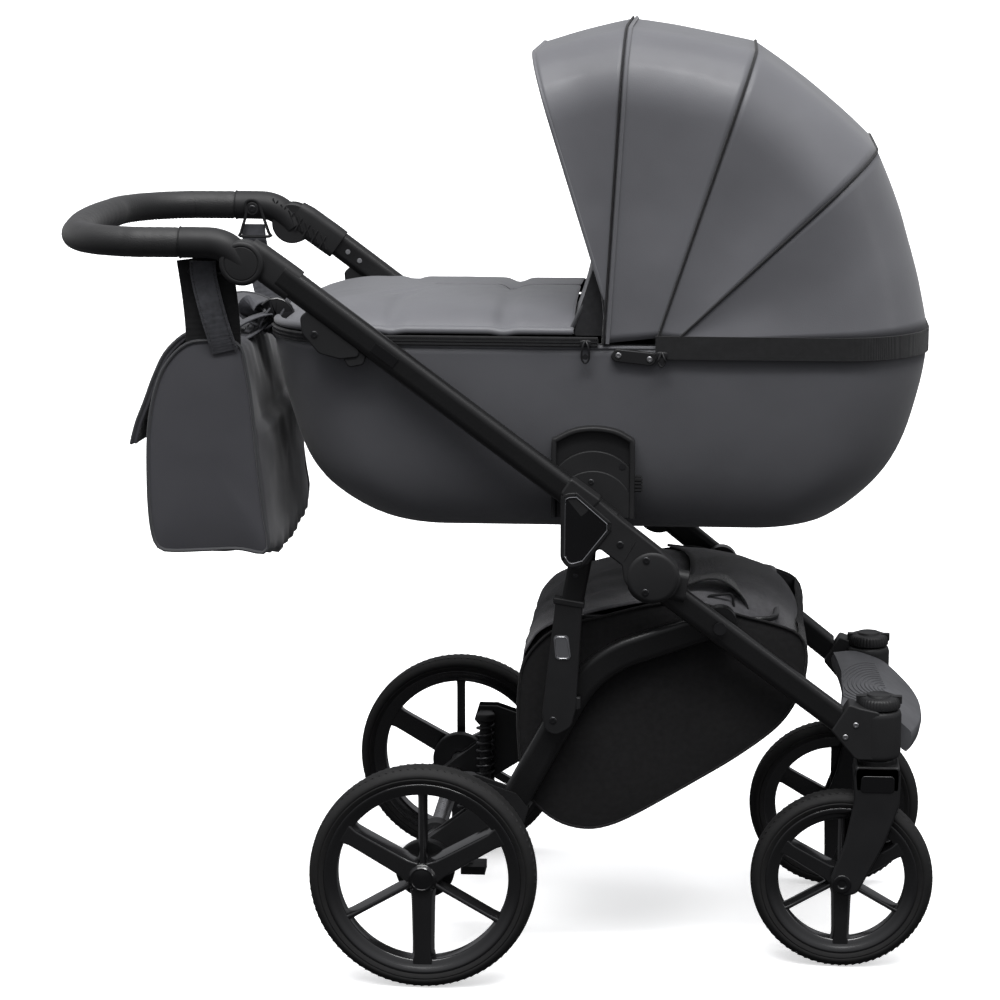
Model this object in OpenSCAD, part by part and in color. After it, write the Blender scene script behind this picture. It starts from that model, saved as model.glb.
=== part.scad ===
// Pram with a folding chassis, a carrycot with a hood, a changing bag and a basket.
// X points forward, Y to the pram's left, Z up, millimetres. The origin is on the ground under
// the middle of the outline. Side-view places are [x, z] pairs measured from the rear axle line
// and the ground; place() moves them into the final frame.

/* [Chassis] */
// Distance from rear axle to front axle
wheelbase = 532; // [500:1:560]
// Distance between the middles of the rear tyres
rear_track = 562; // [556:1:620]
// Distance between the two caster swivel axes
front_track = 332; // [330:1:340]
// Distance between the inner faces of the two pusher tubes
frame_inside = 422; // [422:1:430]
// Width of the pusher tube across the pram
tube_w = 22; // [16:1:24]
// Height of the pusher tube
tube_h = 36; // [28:1:38]
// Wall of all the metal tubes
tube_wall = 1.6; // [1:0.1:3]
// Height of the front leg tube
leg_h = 34; // [28:1:36]
// Width of the front leg tube
leg_w = 18; // [14:1:20]
// Height of the rear arch tube
arch_h = 38; // [30:1:40]
// Width of the rear arch tube
arch_w = 18; // [14:1:18]
// Bend radius of the rear arch
arch_bend = 150; // [120:1:180]

/* [Wheels] */
// Outer diameter of the rear tyres
rear_d = 290; // [270:1:296]
// Outer diameter of the front tyres
front_d = 235; // [220:1:240]
// Width of the rear tyres
rear_w = 40; // [30:1:42]
// Width of the front tyres
front_w = 36; // [28:1:36]
// Radial depth of the tyre rubber
tyre_t = 20; // [14:1:24]
// Radial depth of the rim
rim_t = 16; // [10:1:18]
// Distance the front axle trails behind its swivel
trail = 43; // [35:1:43]
// Diameter of the rear axle pins
rear_pin_d = 12; // [8:0.5:14]
// Diameter of the front axle bolts
front_pin_d = 10; // [8:0.5:12]
// Diameter of the caster swivel pins
swivel_pin_d = 16; // [12:0.5:18]

/* [Handle] */
// Diameter of the padded grip
grip_d = 38; // [30:1:38]
// Diameter of the metal handle tube
bar_d = 24; // [18:1:25]
// Bend radius of the handle corners
bar_bend = 78; // [60:1:90]
// Length of the handle from its hinge to the middle of the cross bar
bar_reach = 244; // [230:1:250]
// Radius of the handle hinge discs
hinge_r = 27; // [24:1:28]

/* [Carrycot] */
// Height of the carrycot rim above the ground
rim_z = 815; // [812:1:815]
// Half width of the carrycot at its rim
cot_half = 200; // [180:1:200]
// Thickness of the carrycot wall
cot_wall = 6; // [4:0.5:8]
// Radius of the hood over its pivot
hood_r = 380; // [360:1:385]
// Half width of the hood
hood_half = 207; // [205:1:207]
// Rounding between the hood's top and its sides
hood_corner = 90; // [60:1:110]
// Thickness of the hood fabric and its bows
hood_t = 3; // [2:0.1:3]
// Step between nested hood layers
hood_step = 3.7; // [3.5:0.1:3.8]
// Thickness of the mattress
mattress_t = 40; // [20:1:50]

/* [Bag and basket] */
// Half width of the changing bag
bag_half = 190; // [150:1:194]
// Thickness of the bag cloth
bag_wall = 3; // [2:0.5:5]
// Half width of the basket
basket_half = 164; // [140:1:166]
// Thickness of the basket cloth
basket_wall = 3; // [2:0.5:5]

/* [Fits] */
// Radial clearance of pins in their bores
fit = 0.05; // [0.02:0.01:0.1]
// Gap between pieces that move past each other
gap = 0.4; // [0.3:0.05:0.6]

/* [Hidden] */
$fn = 64;
rear_r = rear_d / 2;
front_r = front_d / 2;
swivel_x = wheelbase + trail;
swivel_y = front_track / 2;
in_y = frame_inside / 2;               // inner face of the pusher tubes
tube_y = in_y + tube_w / 2;            // middle plane of the pusher tubes
out_y = in_y + tube_w;                 // outer face of the pusher tubes
hub = [283, 520];                      // fold pivot
elbow = [200, 568];                    // rear leg pivot on the elbow bracket
arch_top = [371, 458];                 // arch pivot on the front leg
arch_knee = [209, 401];                // corner of the arch before bending
arch_low = [104, 207];                 // lower end of the arch tube
strut_low = [153, 332];                // lower pivot of the rear leg
leg_low = [534, 326];                  // lower end of the front leg
tube_low = [232, 593];                 // lower end of the pusher tube
tube_top = [-180, 901];                // upper end of the pusher tube
hinge = [-227, 915];                   // handle hinge
bar_z = 941;                           // height of the handle bar
hood_pivot = [256, rim_z + 13];
strut_in = in_y - 20.2;                // rear leg planes
strut_out = in_y - 6.4;
arch_out = strut_in - 1.3;             // arch planes
arch_in = arch_out - arch_w;
arch_y = (arch_out + arch_in) / 2;
lug_in = strut_out + gap;              // front leg lug at the hub
lug_out = in_y + 12.5;
leg_y0 = (lug_in + lug_out) / 2;
leg_y1 = swivel_y + 16;
handle_back = hinge[0] - bar_reach - grip_d / 2;
shift_x = -(wheelbase + front_r + handle_back) / 2;
cot_out = in_y - 2;                    // the carrycot's widest fittings stay inside this
rear_y = rear_track / 2;
drum_out = rear_y - rear_w / 2 - 3;    // outer face of the brake drums

// ---- helpers -------------------------------------------------------------------------------

// Moves a piece from rear-axle places into the final frame.
module place() translate([shift_x, 0, 0]) children();

// Extrudes a side-view outline from y0 to y1.
module side(y0, y1) translate([0, y1, 0]) rotate([90, 0, 0]) linear_extrude(y1 - y0) children();

// The left side's children and their mirror image.
module both() { children(); mirror([0, 1, 0]) children(); }

// Left piece when s is 1, right piece when s is -1.
module on_side(s) mirror([0, s < 0 ? 1 : 0, 0]) children();

// Cylinder across the pram at side-view point p.
module pin(p, r, y0, y1) side(y0, y1) translate(p) circle(r);

// Flat bar with round ends between two side-view points.
module link2d(a, b, w) {
    d = b - a;
    translate(a) circle(d = w);
    translate(b) circle(d = w);
    translate(a) rotate(atan2(d[1], d[0])) translate([0, -w / 2]) square([norm(d), w]);
}

// Oval: a rectangle with full round short ends.
module oval(w, h) {
    for (s = [-1, 1]) translate([0, s * (h - w) / 2]) circle(d = w);
    square([w, h - w], center = true);
}

// Oval tube section.
module oval_ring(w, h, wall) difference() {
    oval(w, h);
    oval(w - 2 * wall, h - 2 * wall);
}

// Extrudes a section along the line from a to b, both [x, y, z]; section x is across the pram.
module along(a, b) {
    d = b - a;
    translate(a)
        rotate([0, -atan2(d[2], norm([d[0], d[1]])), atan2(d[1], d[0])])
        rotate([90, 0, 90]) linear_extrude(norm(d)) children();
}

function xyz(p, y) = [p[0], y, p[1]];
function unit(v) = v / norm(v);
// Point at a distance t from a towards b.
function toward(a, b, t) = a + unit(b - a) * t;

// Plan outline with round corners: x from x0 to x1, half width half.
module plan(x0, x1, half, r) {
    translate([x0 + r, -half]) square([x1 - x0 - 2 * r, 2 * half]);
    translate([x0, -half + r]) square([x1 - x0, 2 * (half - r)]);
    for (x = [x0 + r, x1 - r], s = [-1, 1]) translate([x, s * (half - r)]) circle(r, $fn = 32);
}

module slab(z, x0, x1, half, r) translate([0, 0, z]) linear_extrude(0.5) plan(x0, x1, half, r);

// ---- front frame ---------------------------------------------------------------------------

module front_leg(s) color("#1b1b1d") place() on_side(s) {
    leg_a = xyz(hub, leg_y0);
    leg_b = xyz(leg_low, leg_y1);
    difference() {
        union() {
            along(leg_a, leg_b) oval(leg_w, leg_h);
            side(lug_in, lug_out) translate(hub) circle(30);
        }
        pin(hub, 7 + fit, lug_in - 5, lug_out + 5);
        pin(arch_top, 5, in_y - 60, out_y);
        along(toward(leg_a, leg_b, 45), toward(leg_a, leg_b, 400))
            oval(leg_w - 2 * tube_wall, leg_h - 2 * tube_wall);
        translate([leg_low[0] - 6, 0, 0]) cube([200, 300, 600]);
    }
}
module front_leg_left() front_leg(1);
module front_leg_right() front_leg(-1);

house_z0 = front_r + 160.1;            // underside of the caster housing
house_z1 = house_z0 + 71;
knob_reach = 29;                       // radius that the lock knob's tabs reach
module front_housing(s) color("#232325") place() on_side(s) difference() {
    union() {
        translate([swivel_x, swivel_y, house_z0]) cylinder(r = 28, h = house_z1 - house_z0);
        side(swivel_y - 24, swivel_y + 28) polygon([
            [leg_low[0] - 4, leg_low[1] - 24], [swivel_x - 30, house_z0], [swivel_x, house_z0],
            [swivel_x, house_z1], [leg_low[0] + 6, leg_low[1] + 27], [leg_low[0] - 5, leg_low[1] + 22]
        ]);
    }
    translate([swivel_x, swivel_y, house_z0 - 1])
        cylinder(r = swivel_pin_d / 2 + fit, h = 54);
    // seat for the lock knob and its two tabs
    translate([swivel_x, swivel_y, house_z1]) cylinder(r = knob_reach + 2, h = 20);
    translate([swivel_x, swivel_y, house_z1 - 8]) cylinder(r = 6 + fit, h = 20);
}
module front_housing_left() front_housing(1);
module front_housing_right() front_housing(-1);

// Crescent plate between the two caster housings.
module footrest() color("#5d5f62") place() {
    span = swivel_y - 28 - gap / 2;
    difference() {
        translate([0, 0, house_z0 + 22]) linear_extrude(24) intersection() {
            translate([swivel_x - 32 - 220, 0]) circle(300, $fn = 128);
            translate([swivel_x - 60, -span]) square([160, 2 * span]);
        }
        translate([swivel_x - 340, 0, house_z0 + 10]) cylinder(r = 300, h = 60, $fn = 128);
        translate([swivel_x - 60, -40, house_z0 + 36]) cube([200, 80, 30]);
    }
    for (s = [-1, 1]) translate([swivel_x - 10, s * (span - 9), house_z0 + 6])
        cylinder(r = 9, h = 17);
}

module front_crossbar() color("#2a2a2c") place()
    side(-swivel_y + 24, swivel_y - 24) translate([swivel_x - 26.5, house_z0 + 12.4])
        difference() {
            circle(6.5);
            circle(6.5 - tube_wall);
        }

module fold_pivot_pins() color("silver") place() both() pin(hub, 7, lug_in - 3, lug_out);

module arch_pivot_screws() color("silver") place() both() {
    pin(arch_top, 5 - fit, arch_in - 2, out_y - 16);
    pin(arch_top, 8, out_y - 16, out_y - 13);
}

basket_outline = [
    [122, 226], [136, 203], [165, 182], [195, 174], [222, 176], [266, 196], [347, 247],
    [400, 284], [449, 323], [473, 362], [478, 400], [464, 440], [300, 462], [150, 440],
    [113, 358], [116, 280]
];
module basket() color("#161617") place() difference() {
    side(-basket_half, basket_half) polygon(basket_outline);
    side(-basket_half + basket_wall, basket_half - basket_wall) difference() {
        union() {
            offset(delta = -basket_wall) polygon(basket_outline);
            polygon([[158, 430], [456, 430], [430, 600], [180, 600]]);
        }
        // the rim of cloth left standing round the open top
        translate([90, 100]) square([20, 500]);
    }
}

// Wire hoop that carries the basket's top edge.
hoop_t = 7;                            // thickness of the hoop
module basket_frame() color("#2a2a2c") place()
    translate([0, 0, 452.5]) linear_extrude(hoop_t) difference() {
        plan(170, 446, basket_half - basket_wall - gap, 30);
        plan(170 + hoop_t, 446 - hoop_t, basket_half - basket_wall - gap - hoop_t, 30 - hoop_t);
    }

// ---- pusher --------------------------------------------------------------------------------

module pusher_tube(s) color("#1b1b1d") place() on_side(s)
    along(xyz(tube_low, tube_y), xyz(tube_top, tube_y)) oval_ring(tube_w, tube_h, tube_wall);
module pusher_tube_left() pusher_tube(1);
module pusher_tube_right() pusher_tube(-1);

// Triangular casting that joins the pusher tube, the rear leg and the hub.
module elbow_bracket(s) color("#1f1f21") place() on_side(s) difference() {
    union() {
        side(lug_out + gap, out_y + 1) {
            polygon([[171, 602], [196, 643], [254, 588], [309, 545], [270, 490], [222, 530],
                     [188, 508], [173, 531]]);
            translate(hub) circle(33);
        }
        side(in_y, out_y + 1) polygon([[171, 602], [196, 643], [246, 594], [222, 560], [180, 560]]);
    }
    along(xyz(toward(tube_low, tube_top, -60), tube_y), xyz(tube_top, tube_y))
        oval(tube_w, tube_h);
    pin(hub, 7 + fit, lug_out - 20, out_y - 2);
    pin(elbow, 6, in_y - 30, in_y + 12);
    // recess for the inlay
    side(out_y + 0.1, out_y + 5) inlay2d();
}
module inlay2d() polygon([[182, 630], [196, 634], [240, 592], [226, 570], [196, 536], [180, 548]]);
module elbow_bracket_left() elbow_bracket(1);
module elbow_bracket_right() elbow_bracket(-1);

module elbow_inlays() color("#0b0b0c") place() both() {
    side(out_y + 0.1, out_y + 2.5) inlay2d();
    pin(elbow, 6, strut_in + gap, in_y + 12);
}

module hub_caps() color("#242426") place() both() difference() {
    side(out_y + 1, out_y + 3) translate(hub) circle(27);
    for (z = [18, -18]) pin(hub + [18, z], 2.5, out_y + 2, out_y + 5);
}

module handle_hinge_bases() color("#202022") place() both() difference() {
    union() {
        side(in_y - 5, in_y + 10) link2d(hinge, toward(hinge, tube_low, 46), 2 * hinge_r - 8);
        pin(hinge, hinge_r, in_y - 5, in_y + 10);
        along(xyz(toward(tube_top, tube_low, -8), tube_y), xyz(toward(tube_top, tube_low, 24), tube_y))
            oval(tube_w + 6, tube_h + 6);
    }
    along(xyz(toward(tube_top, tube_low, -2), tube_y), xyz(toward(tube_top, tube_low, 60), tube_y))
        oval(tube_w, tube_h);
    pin(hinge, 8 + fit, in_y - 2, in_y + 20);
}

badge_at = [145, 180];                 // distances of the plate's ends from the tube's top
badge_h = 13;
module frame_badge() color("#3a3a3c") place() {
    y = -(out_y + 0.8);
    along(xyz(toward(tube_top, tube_low, badge_at[0]), y),
        xyz(toward(tube_top, tube_low, badge_at[1]), y)) square([1.5, badge_h], center = true);
}

// Finger pull that slides along the underside of the pusher tube.
lever_at = 44;                         // distance of its upper end from the tube's top
lever_len = 72;
lever_w = 12;
module fold_lever(s) color("#19191a") place() on_side(s) {
    a = toward(tube_top, tube_low, lever_at);
    b = toward(tube_top, tube_low, lever_at + lever_len);
    n = [(b - a)[1], -(b - a)[0]] / norm(b - a);
    root = tube_h / 2 + gap;
    side(tube_y - lever_w / 2, tube_y + lever_w / 2) polygon([
        a + n * root, b + n * root, toward(b, a, 4) + n * (root + 7),
        toward(a, b, 34) + n * 50, toward(a, b, 16) + n * 48, toward(a, b, 2) + n * 38
    ]);
}
module fold_lever_left() fold_lever(1);
module fold_lever_right() fold_lever(-1);

// ---- handle --------------------------------------------------------------------------------

bar_x = hinge[0] - bar_reach;
arm_end = hinge[0] - 35;
seam_x = hinge[0] - 79;
// U-shaped rod of radius r in plan, arms running from the cross bar to x1.
module u_rod(r, x1) {
    translate([bar_x, 0, bar_z]) {
        rotate([90, 0, 0]) cylinder(r = r, h = 2 * (tube_y - bar_bend), center = true);
        for (s = [-1, 1]) {
            translate([bar_bend, s * (tube_y - bar_bend), 0])
                rotate([0, 0, s > 0 ? 90 : 180]) rotate_extrude(angle = 90)
                translate([bar_bend, 0]) circle(r);
            translate([bar_bend, s * tube_y, 0]) rotate([0, 90, 0])
                cylinder(r = r, h = x1 - bar_x - bar_bend);
        }
    }
}

module handle_tube() color("silver") place() u_rod(bar_d / 2, arm_end);

module handle_grip() color("#141414") place() difference() {
    u_rod(grip_d / 2, seam_x);
    u_rod(bar_d / 2, arm_end);
}

module handle_sleeves() color("#222224") place() both() difference() {
    translate([seam_x, tube_y, bar_z]) rotate([0, 90, 0])
        cylinder(r = grip_d / 2 - 0.5, h = arm_end - seam_x);
    translate([seam_x - 1, tube_y, bar_z]) rotate([0, 90, 0])
        cylinder(r = bar_d / 2, h = arm_end - seam_x + 2);
}

module handle_hinge_arms() color("#202022") place() both() difference() {
    union() {
        side(in_y + 10 + gap, out_y + 4) {
            translate(hinge) circle(hinge_r);
            link2d(hinge, [arm_end - 1, bar_z - 4], 30);
        }
        pin(hinge, 8, in_y, in_y + 10 + gap);
    }
    translate([arm_end - 60, tube_y - 30, bar_z - 40]) cube([60, 60, 80]);
    pin(hinge, 14 + fit, out_y - 3, out_y + 8);
}

module bag_clips() color("#151515") place() both() difference() {
    side(tube_y - 8, tube_y + 8) polygon([
        [-330, bar_z], [-286, bar_z], [-288, bar_z - 26], [-300, bar_z - 40], [-314, bar_z - 40],
        [-328, bar_z - 26]
    ]);
    translate([-400, tube_y, bar_z]) rotate([0, 90, 0]) cylinder(r = grip_d / 2, h = 200);
}

module handle_button(s) color("#2c2c2e") place() on_side(s) difference() {
    pin(hinge, 14, out_y + 1, out_y + 7);
    side(out_y + 6, out_y + 9) translate(hinge) for (i = [-2:2])
        translate([-8, i * 4 - 0.75]) square([16, 1.5]);
}
module handle_button_left() handle_button(1);
module handle_button_right() handle_button(-1);

// ---- rear arch and axle --------------------------------------------------------------------

// Oval tube through three side-view points with one bend.
module bent_tube(a, k, b, r, y, w, h) {
    u = unit(a - k);
    v = unit(b - k);
    half = acos(u * v) / 2;
    t = r / tan(half);
    c = k + unit(u + v) * r / sin(half);
    pa = k + u * t;
    pb = k + v * t;
    a0 = atan2((pa - c)[1], (pa - c)[0]);
    turn = 180 - 2 * half;
    // the straight ends are a hair slimmer, so their faces don't lie in the bend's
    along(xyz(toward(pa, a, -0.5), y), xyz(a, y)) oval(w - 0.1, h - 0.1);
    along(xyz(toward(pb, b, -0.5), y), xyz(b, y)) oval(w - 0.1, h - 0.1);
    translate(xyz(c, y)) rotate([90, 0, 0]) rotate([0, 0, a0]) rotate_extrude(angle = turn)
        translate([r, 0]) rotate(90) oval(w, h);
}

module rear_arch(s) color("#1b1b1d") place() on_side(s) difference() {
    union() {
        bent_tube(arch_top, arch_knee, arch_low, arch_bend, arch_y, arch_w, arch_h);
        pin(arch_top, arch_h / 2 + 2, arch_in, arch_out);
    }
    pin(arch_top, 5, arch_in - 5, arch_out + 5);
}
module rear_arch_left() rear_arch(1);
module rear_arch_right() rear_arch(-1);

axle_p = [0, rear_r];
// Side-view offsets from the axle: a plate on each face of the arch tube, joined by a block
// below the tube's end.
bracket_plate = [[-20, 5], [-14, -17], [8, -23], [60, 1], [122, 41], [128, 63], [112, 83],
                 [60, 101], [34, 101], [28, 81], [48, 59], [2, 23]];
bracket_block = [[-20, 5], [-14, -17], [8, -23], [60, 1], [84, 35], [60, 55], [2, 23]];
module axle_brackets() color("#262628") place() both() difference() {
    translate(xyz(axle_p, 0)) {
        side(arch_in - 4, arch_out + 0.8) polygon(bracket_block);
        side(arch_in - 4, arch_in) polygon(bracket_plate);
        side(arch_out, arch_out + 0.8) polygon(bracket_plate);
    }
    pin(axle_p, 11, arch_in - 30, arch_out + 30);
}

module rear_axle() color("silver") place() {
    pin(axle_p, 11, -drum_out + 12, drum_out - 12);
    both() pin(axle_p, rear_pin_d / 2, drum_out - 12, rear_y + rear_w / 2 - 12);
}

module suspension_springs() color("#3a3a3c") place() both() {
    y = arch_in - 22;
    translate([45, y, rear_r + 86]) cylinder(r = 13, h = 10);
    translate([45, y, rear_r + 2]) cylinder(r = 9, h = 84);
    translate([45, y, rear_r - 6]) cylinder(r = 13, h = 8);
    side(y - 8, y + 8) difference() {
        translate([0, rear_r - 14]) square([50, 16]);
        translate(axle_p) circle(11);
    }
    translate([36, y, rear_r + 90]) cube([18, arch_in - 4 - y, 6]);
}

module brake_drums() color("#202022") place() both() difference() {
    pin(axle_p, 38, drum_out - 14, drum_out);
    pin(axle_p, 11, drum_out - 30, drum_out - 12);
    pin(axle_p, rear_pin_d / 2, drum_out - 13, drum_out + 1);
}

module brake_pedal() color("#1a1a1b") place() difference() {
    union() {
        pin(axle_p, 19, -118, -94);
        side(-114, -98) translate(axle_p) rotate(-45) translate([0, -8]) square([62, 16]);
        side(-124, -88) translate(axle_p + [34, -50]) square([32, 11]);
    }
    pin(axle_p, 11 + fit, -130, -80);
}

module rear_leg(s) color("#1b1b1d") place() on_side(s) difference() {
    top = toward(elbow, strut_low, 84);
    union() {
        side(strut_in + gap, strut_out - gap) link2d(elbow, top, 25);
        side(strut_in + 3, strut_out - 3) link2d(top, strut_low, 15);
    }
    pin(elbow, 6 + fit, strut_in - 5, strut_out + 5);
}
module rear_leg_left() rear_leg(1);
module rear_leg_right() rear_leg(-1);

sleeve_w = 36;                         // side-view width of the sleeve
module rear_leg_sleeves() color("#222224") place() both() {
    top = toward(elbow, strut_low, 97);
    difference() {
        side(strut_in, strut_out) {
            link2d(toward(top, strut_low, 14), strut_low, sleeve_w);
        }
        side(strut_in + 3, strut_out - 3) link2d(elbow, strut_low, 15);
        side(strut_in - 1, strut_out + 1) link2d(elbow, toward(elbow, strut_low, 84), 25);
    }
    pin(strut_low, 6, strut_out, strut_out + 2);
}

// ---- wheels --------------------------------------------------------------------------------

// Rounded tyre section between radii r0 and r1.
module tyre_section(r0, r1, w) {
    e = min(9, (r1 - r0) * 0.6);
    translate([r0, -w / 2]) square([r1 - r0 - e, w]);
    translate([r0, -w / 2 + e]) square([r1 - r0, w - 2 * e]);
    for (s = [-1, 1]) translate([r1 - e, s * (w / 2 - e)]) circle(e);
}

// Both tyre and wheel are drawn round the origin, axle along Y, outer face to +Y.
module tyre(d, w) color("#191919") rotate([90, 0, 0]) rotate_extrude($fn = 96)
    tyre_section(d / 2 - tyre_t, d / 2, w);

module wheel(d, w, pin_d, hub_r) color("#0d0d0e") difference() {
    rim_out = d / 2 - tyre_t;
    rim_in = rim_out - rim_t;
    union() {
        rotate([90, 0, 0]) rotate_extrude($fn = 96) {
            translate([rim_in, -w / 2 + 4]) square([rim_t - 4, w - 8]);
            translate([rim_out - 5, -w / 2 + 2]) square([5, w - 4]);
        }
        pin([0, 0], hub_r, -w / 2, w / 2 - 2);
        pin([0, 0], hub_r - 4, w / 2 - 2, w / 2);
        for (i = [0:2]) {
            side(-w / 2 + 8, w / 2 - 7) rotate(30 + 120 * i) polygon([
                [hub_r - 5, -14], [rim_in + 3, -11.5], [rim_in + 3, 11.5], [hub_r - 5, 14]
            ]);
            side(-w / 2 + 10, w / 2 - 9) rotate(90 + 120 * i) polygon([
                [hub_r - 5, -5], [rim_in + 3, -4.5], [rim_in + 3, 4.5], [hub_r - 5, 5]
            ]);
        }
    }
    pin([0, 0], pin_d / 2 + fit, -w, w / 2 - 8);
}

module at_rear(s) place() on_side(s) translate([0, rear_y, rear_r]) children();
module rear_wheel_left() at_rear(1) wheel(rear_d, rear_w, rear_pin_d, 20);
module rear_wheel_right() at_rear(-1) wheel(rear_d, rear_w, rear_pin_d, 20);
module rear_tyre_left() at_rear(1) tyre(rear_d, rear_w);
module rear_tyre_right() at_rear(-1) tyre(rear_d, rear_w);

module at_front(s) place() on_side(s) translate([wheelbase, swivel_y, front_r]) children();
module front_wheel(s) at_front(s) difference() {
    wheel(front_d, front_w, front_pin_d, 17);
    pin([0, 0], front_pin_d / 2 + fit, -front_w, front_w);
}
module front_wheel_left() front_wheel(1);
module front_wheel_right() front_wheel(-1);
module front_tyre_left() at_front(1) tyre(front_d, front_w);
module front_tyre_right() at_front(-1) tyre(front_d, front_w);

fork_y = front_w / 2 + 2;              // inner face of the fork blades from the wheel's middle
blade = 7;                             // thickness of a fork blade
module front_fork(s) color("#202022") place() on_side(s) {
    top = house_z0 - 0.8;
    arm = [[swivel_x - 28, top], [swivel_x + 26, top], [swivel_x + 28, 214], [swivel_x + 8, 165],
           [wheelbase + 15, front_r - 8], [wheelbase - 15, front_r], [swivel_x - 29, 228]];
    difference() {
        union() {
            for (side_y = [-fork_y - blade, fork_y])
                side(swivel_y + side_y, swivel_y + side_y + blade) {
                    polygon(arm);
                    translate([wheelbase, front_r]) circle(16);
                }
            side(swivel_y - fork_y - blade, swivel_y + fork_y + blade) polygon([
                [swivel_x - 28, top], [swivel_x + 26, top], [swivel_x + 27, top - 42],
                [swivel_x - 28, top - 42]
            ]);
            translate([swivel_x, swivel_y, top - 1]) cylinder(d = swivel_pin_d, h = 50);
        }
        translate([wheelbase, swivel_y, front_r]) rotate([90, 0, 0])
            cylinder(r = front_r + 3, h = front_w + 3, center = true, $fn = 96);
    }
    pin([wheelbase, front_r], front_pin_d / 2, swivel_y - fork_y, swivel_y + fork_y);
    pin([wheelbase, front_r], 9, swivel_y + fork_y + blade, swivel_y + fork_y + blade + 4);
}
module front_fork_left() front_fork(1);
module front_fork_right() front_fork(-1);

module swivel_knob(s) color("#2b2b2d") place() on_side(s)
    translate([swivel_x, swivel_y, house_z1 + gap]) {
        cylinder(r = 24, h = 10);
        translate([0, 0, 10]) cylinder(r = 20, h = 4);
        translate([0, 0, -7]) cylinder(r = 6, h = 7);
        for (a = [0, 180]) rotate(a) translate([18, -5, 0]) cube([11, 10, 9]);
    }
module swivel_knob_left() swivel_knob(1);
module swivel_knob_right() swivel_knob(-1);

// ---- carrycot ------------------------------------------------------------------------------

// Convex tub, drawn in by t on every side and open above z1 when t is more than 0.
module tub(t, z1) hull() {
    slab(z1 - 0.5, -205 + t, 627 - t, cot_half - t, 112 - t);
    slab(700, -184 + t, 610 - t, cot_half - 8 - t, 108 - t);
    slab(625, -158 + t, 570 - t, cot_half - 18 - t, 100 - t);
    slab(590 + t / 2, -118 + t, 532 - t, cot_half - 34 - t, 95 - t);
    slab(566 + t, -62 + t, 500 - t, cot_half - 58 - t, 80 - t);
}
module cot_shell() color("#6f7175") place() {
    difference() {
        tub(0, rim_z);
        tub(cot_wall, rim_z + 30);
    }
    for (x = [48, 210, 300, 378]) translate([x, -70, 562]) cylinder(r = 8, h = 6);
    for (x = [48, 210, 300, 378]) translate([x, 70, 562]) cylinder(r = 8, h = 6);
}

module mattress() color("#d9d9d6") place()
    translate([0, 0, 566 + cot_wall + 37]) linear_extrude(mattress_t)
        plan(-130, 540, cot_half - 34 - 2 * cot_wall, 80);

// Domed cover over the foot half.
module apron_form(t) hull() {
    slab(rim_z + gap - t, -206 + t, 196 + t * 2, cot_half + 1 - t, 112 - t);
    slab(rim_z + 22 - t, -200 + t, 196 + t * 2, cot_half - 3 - t, 108 - t);
    slab(rim_z + 40 - t, -178 + t, 196 + t * 2, cot_half - 26 - t, 90 - t);
}
module apron() color("#75777b") place() difference() {
    union() {
        difference() {
            apron_form(0);
            apron_form(4);
        }
        side(-cot_half + 12, cot_half - 12)
            polygon([[172, rim_z + 30], [177, rim_z + 30], [206, 935], [201, 935]]);
    }
    translate([191, -300, rim_z - 40]) cube([100, 600, 60]);
}

// D-shaped side fitting with its pivot pin for the hood bows.
module cot_connectors() color("#17171a") place() both() {
    difference() {
        side(cot_half - 9, cot_out) {
            translate([210, 669]) circle(39);
            translate([171, 641]) square([78, 28]);
            translate([249, 641]) square([11, 26]);
        }
        side(cot_half - 2, cot_out + 1) difference() {
            translate([210, 666]) circle(30);
            translate([210, 660]) circle(18);
            translate([180, 620]) square([60, 36]);
        }
        side(cot_half + 1, cot_out + 1) translate([252, 645]) square([30, 16]);
        tub(-0.1, rim_z);
    }
    side(cot_half + gap, cot_half + 3) translate([221, rim_z - 20]) square([70, 17]);
    side(cot_half + 3, hood_half + gap) translate([238, rim_z - 20]) square([36, 17]);
    side(hood_half + gap, cot_out + 0.6) translate([246, rim_z - 20]) square([20, 33]);
    side(hood_half + gap, cot_out + 0.6) translate(hood_pivot) circle(10);
    pin(hood_pivot, 5, cot_half - 12, hood_half + gap);
}

module cot_button(s) color("#2f2f31") place() on_side(s)
    side(cot_half + 1 + gap, cot_out - gap) translate([256, 645 + gap])
        square([14, 16 - 2 * gap]);
module cot_button_left() cot_button(1);
module cot_button_right() cot_button(-1);

// ---- hood ----------------------------------------------------------------------------------

// Half section of the drum that the hood is cut from.
module drum_section(r, half, c) {
    translate([0, -half]) square([r - c, 2 * half]);
    translate([0, -half + c]) square([r, 2 * (half - c)]);
    for (s = [-1, 1]) translate([r - c, s * (half - c)]) circle(c);
}
// Drum sector from angle a0 to a1; layer 0 is outermost.
module drum(layer, a0, a1, r_min) {
    r = hood_r - layer * hood_step;
    half = hood_half - layer * hood_step;
    translate(xyz(hood_pivot, 0)) rotate([90, 0, 0]) rotate([0, 0, a0])
        rotate_extrude(angle = a1 - a0, $fn = 96) difference() {
            drum_section(r, half, hood_corner);
            translate([-1, 0]) drum_section(r - hood_t + 1, half - hood_t, hood_corner - hood_t);
            translate([-1, -300]) square([r_min + 1, 600]);
        }
}
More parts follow.
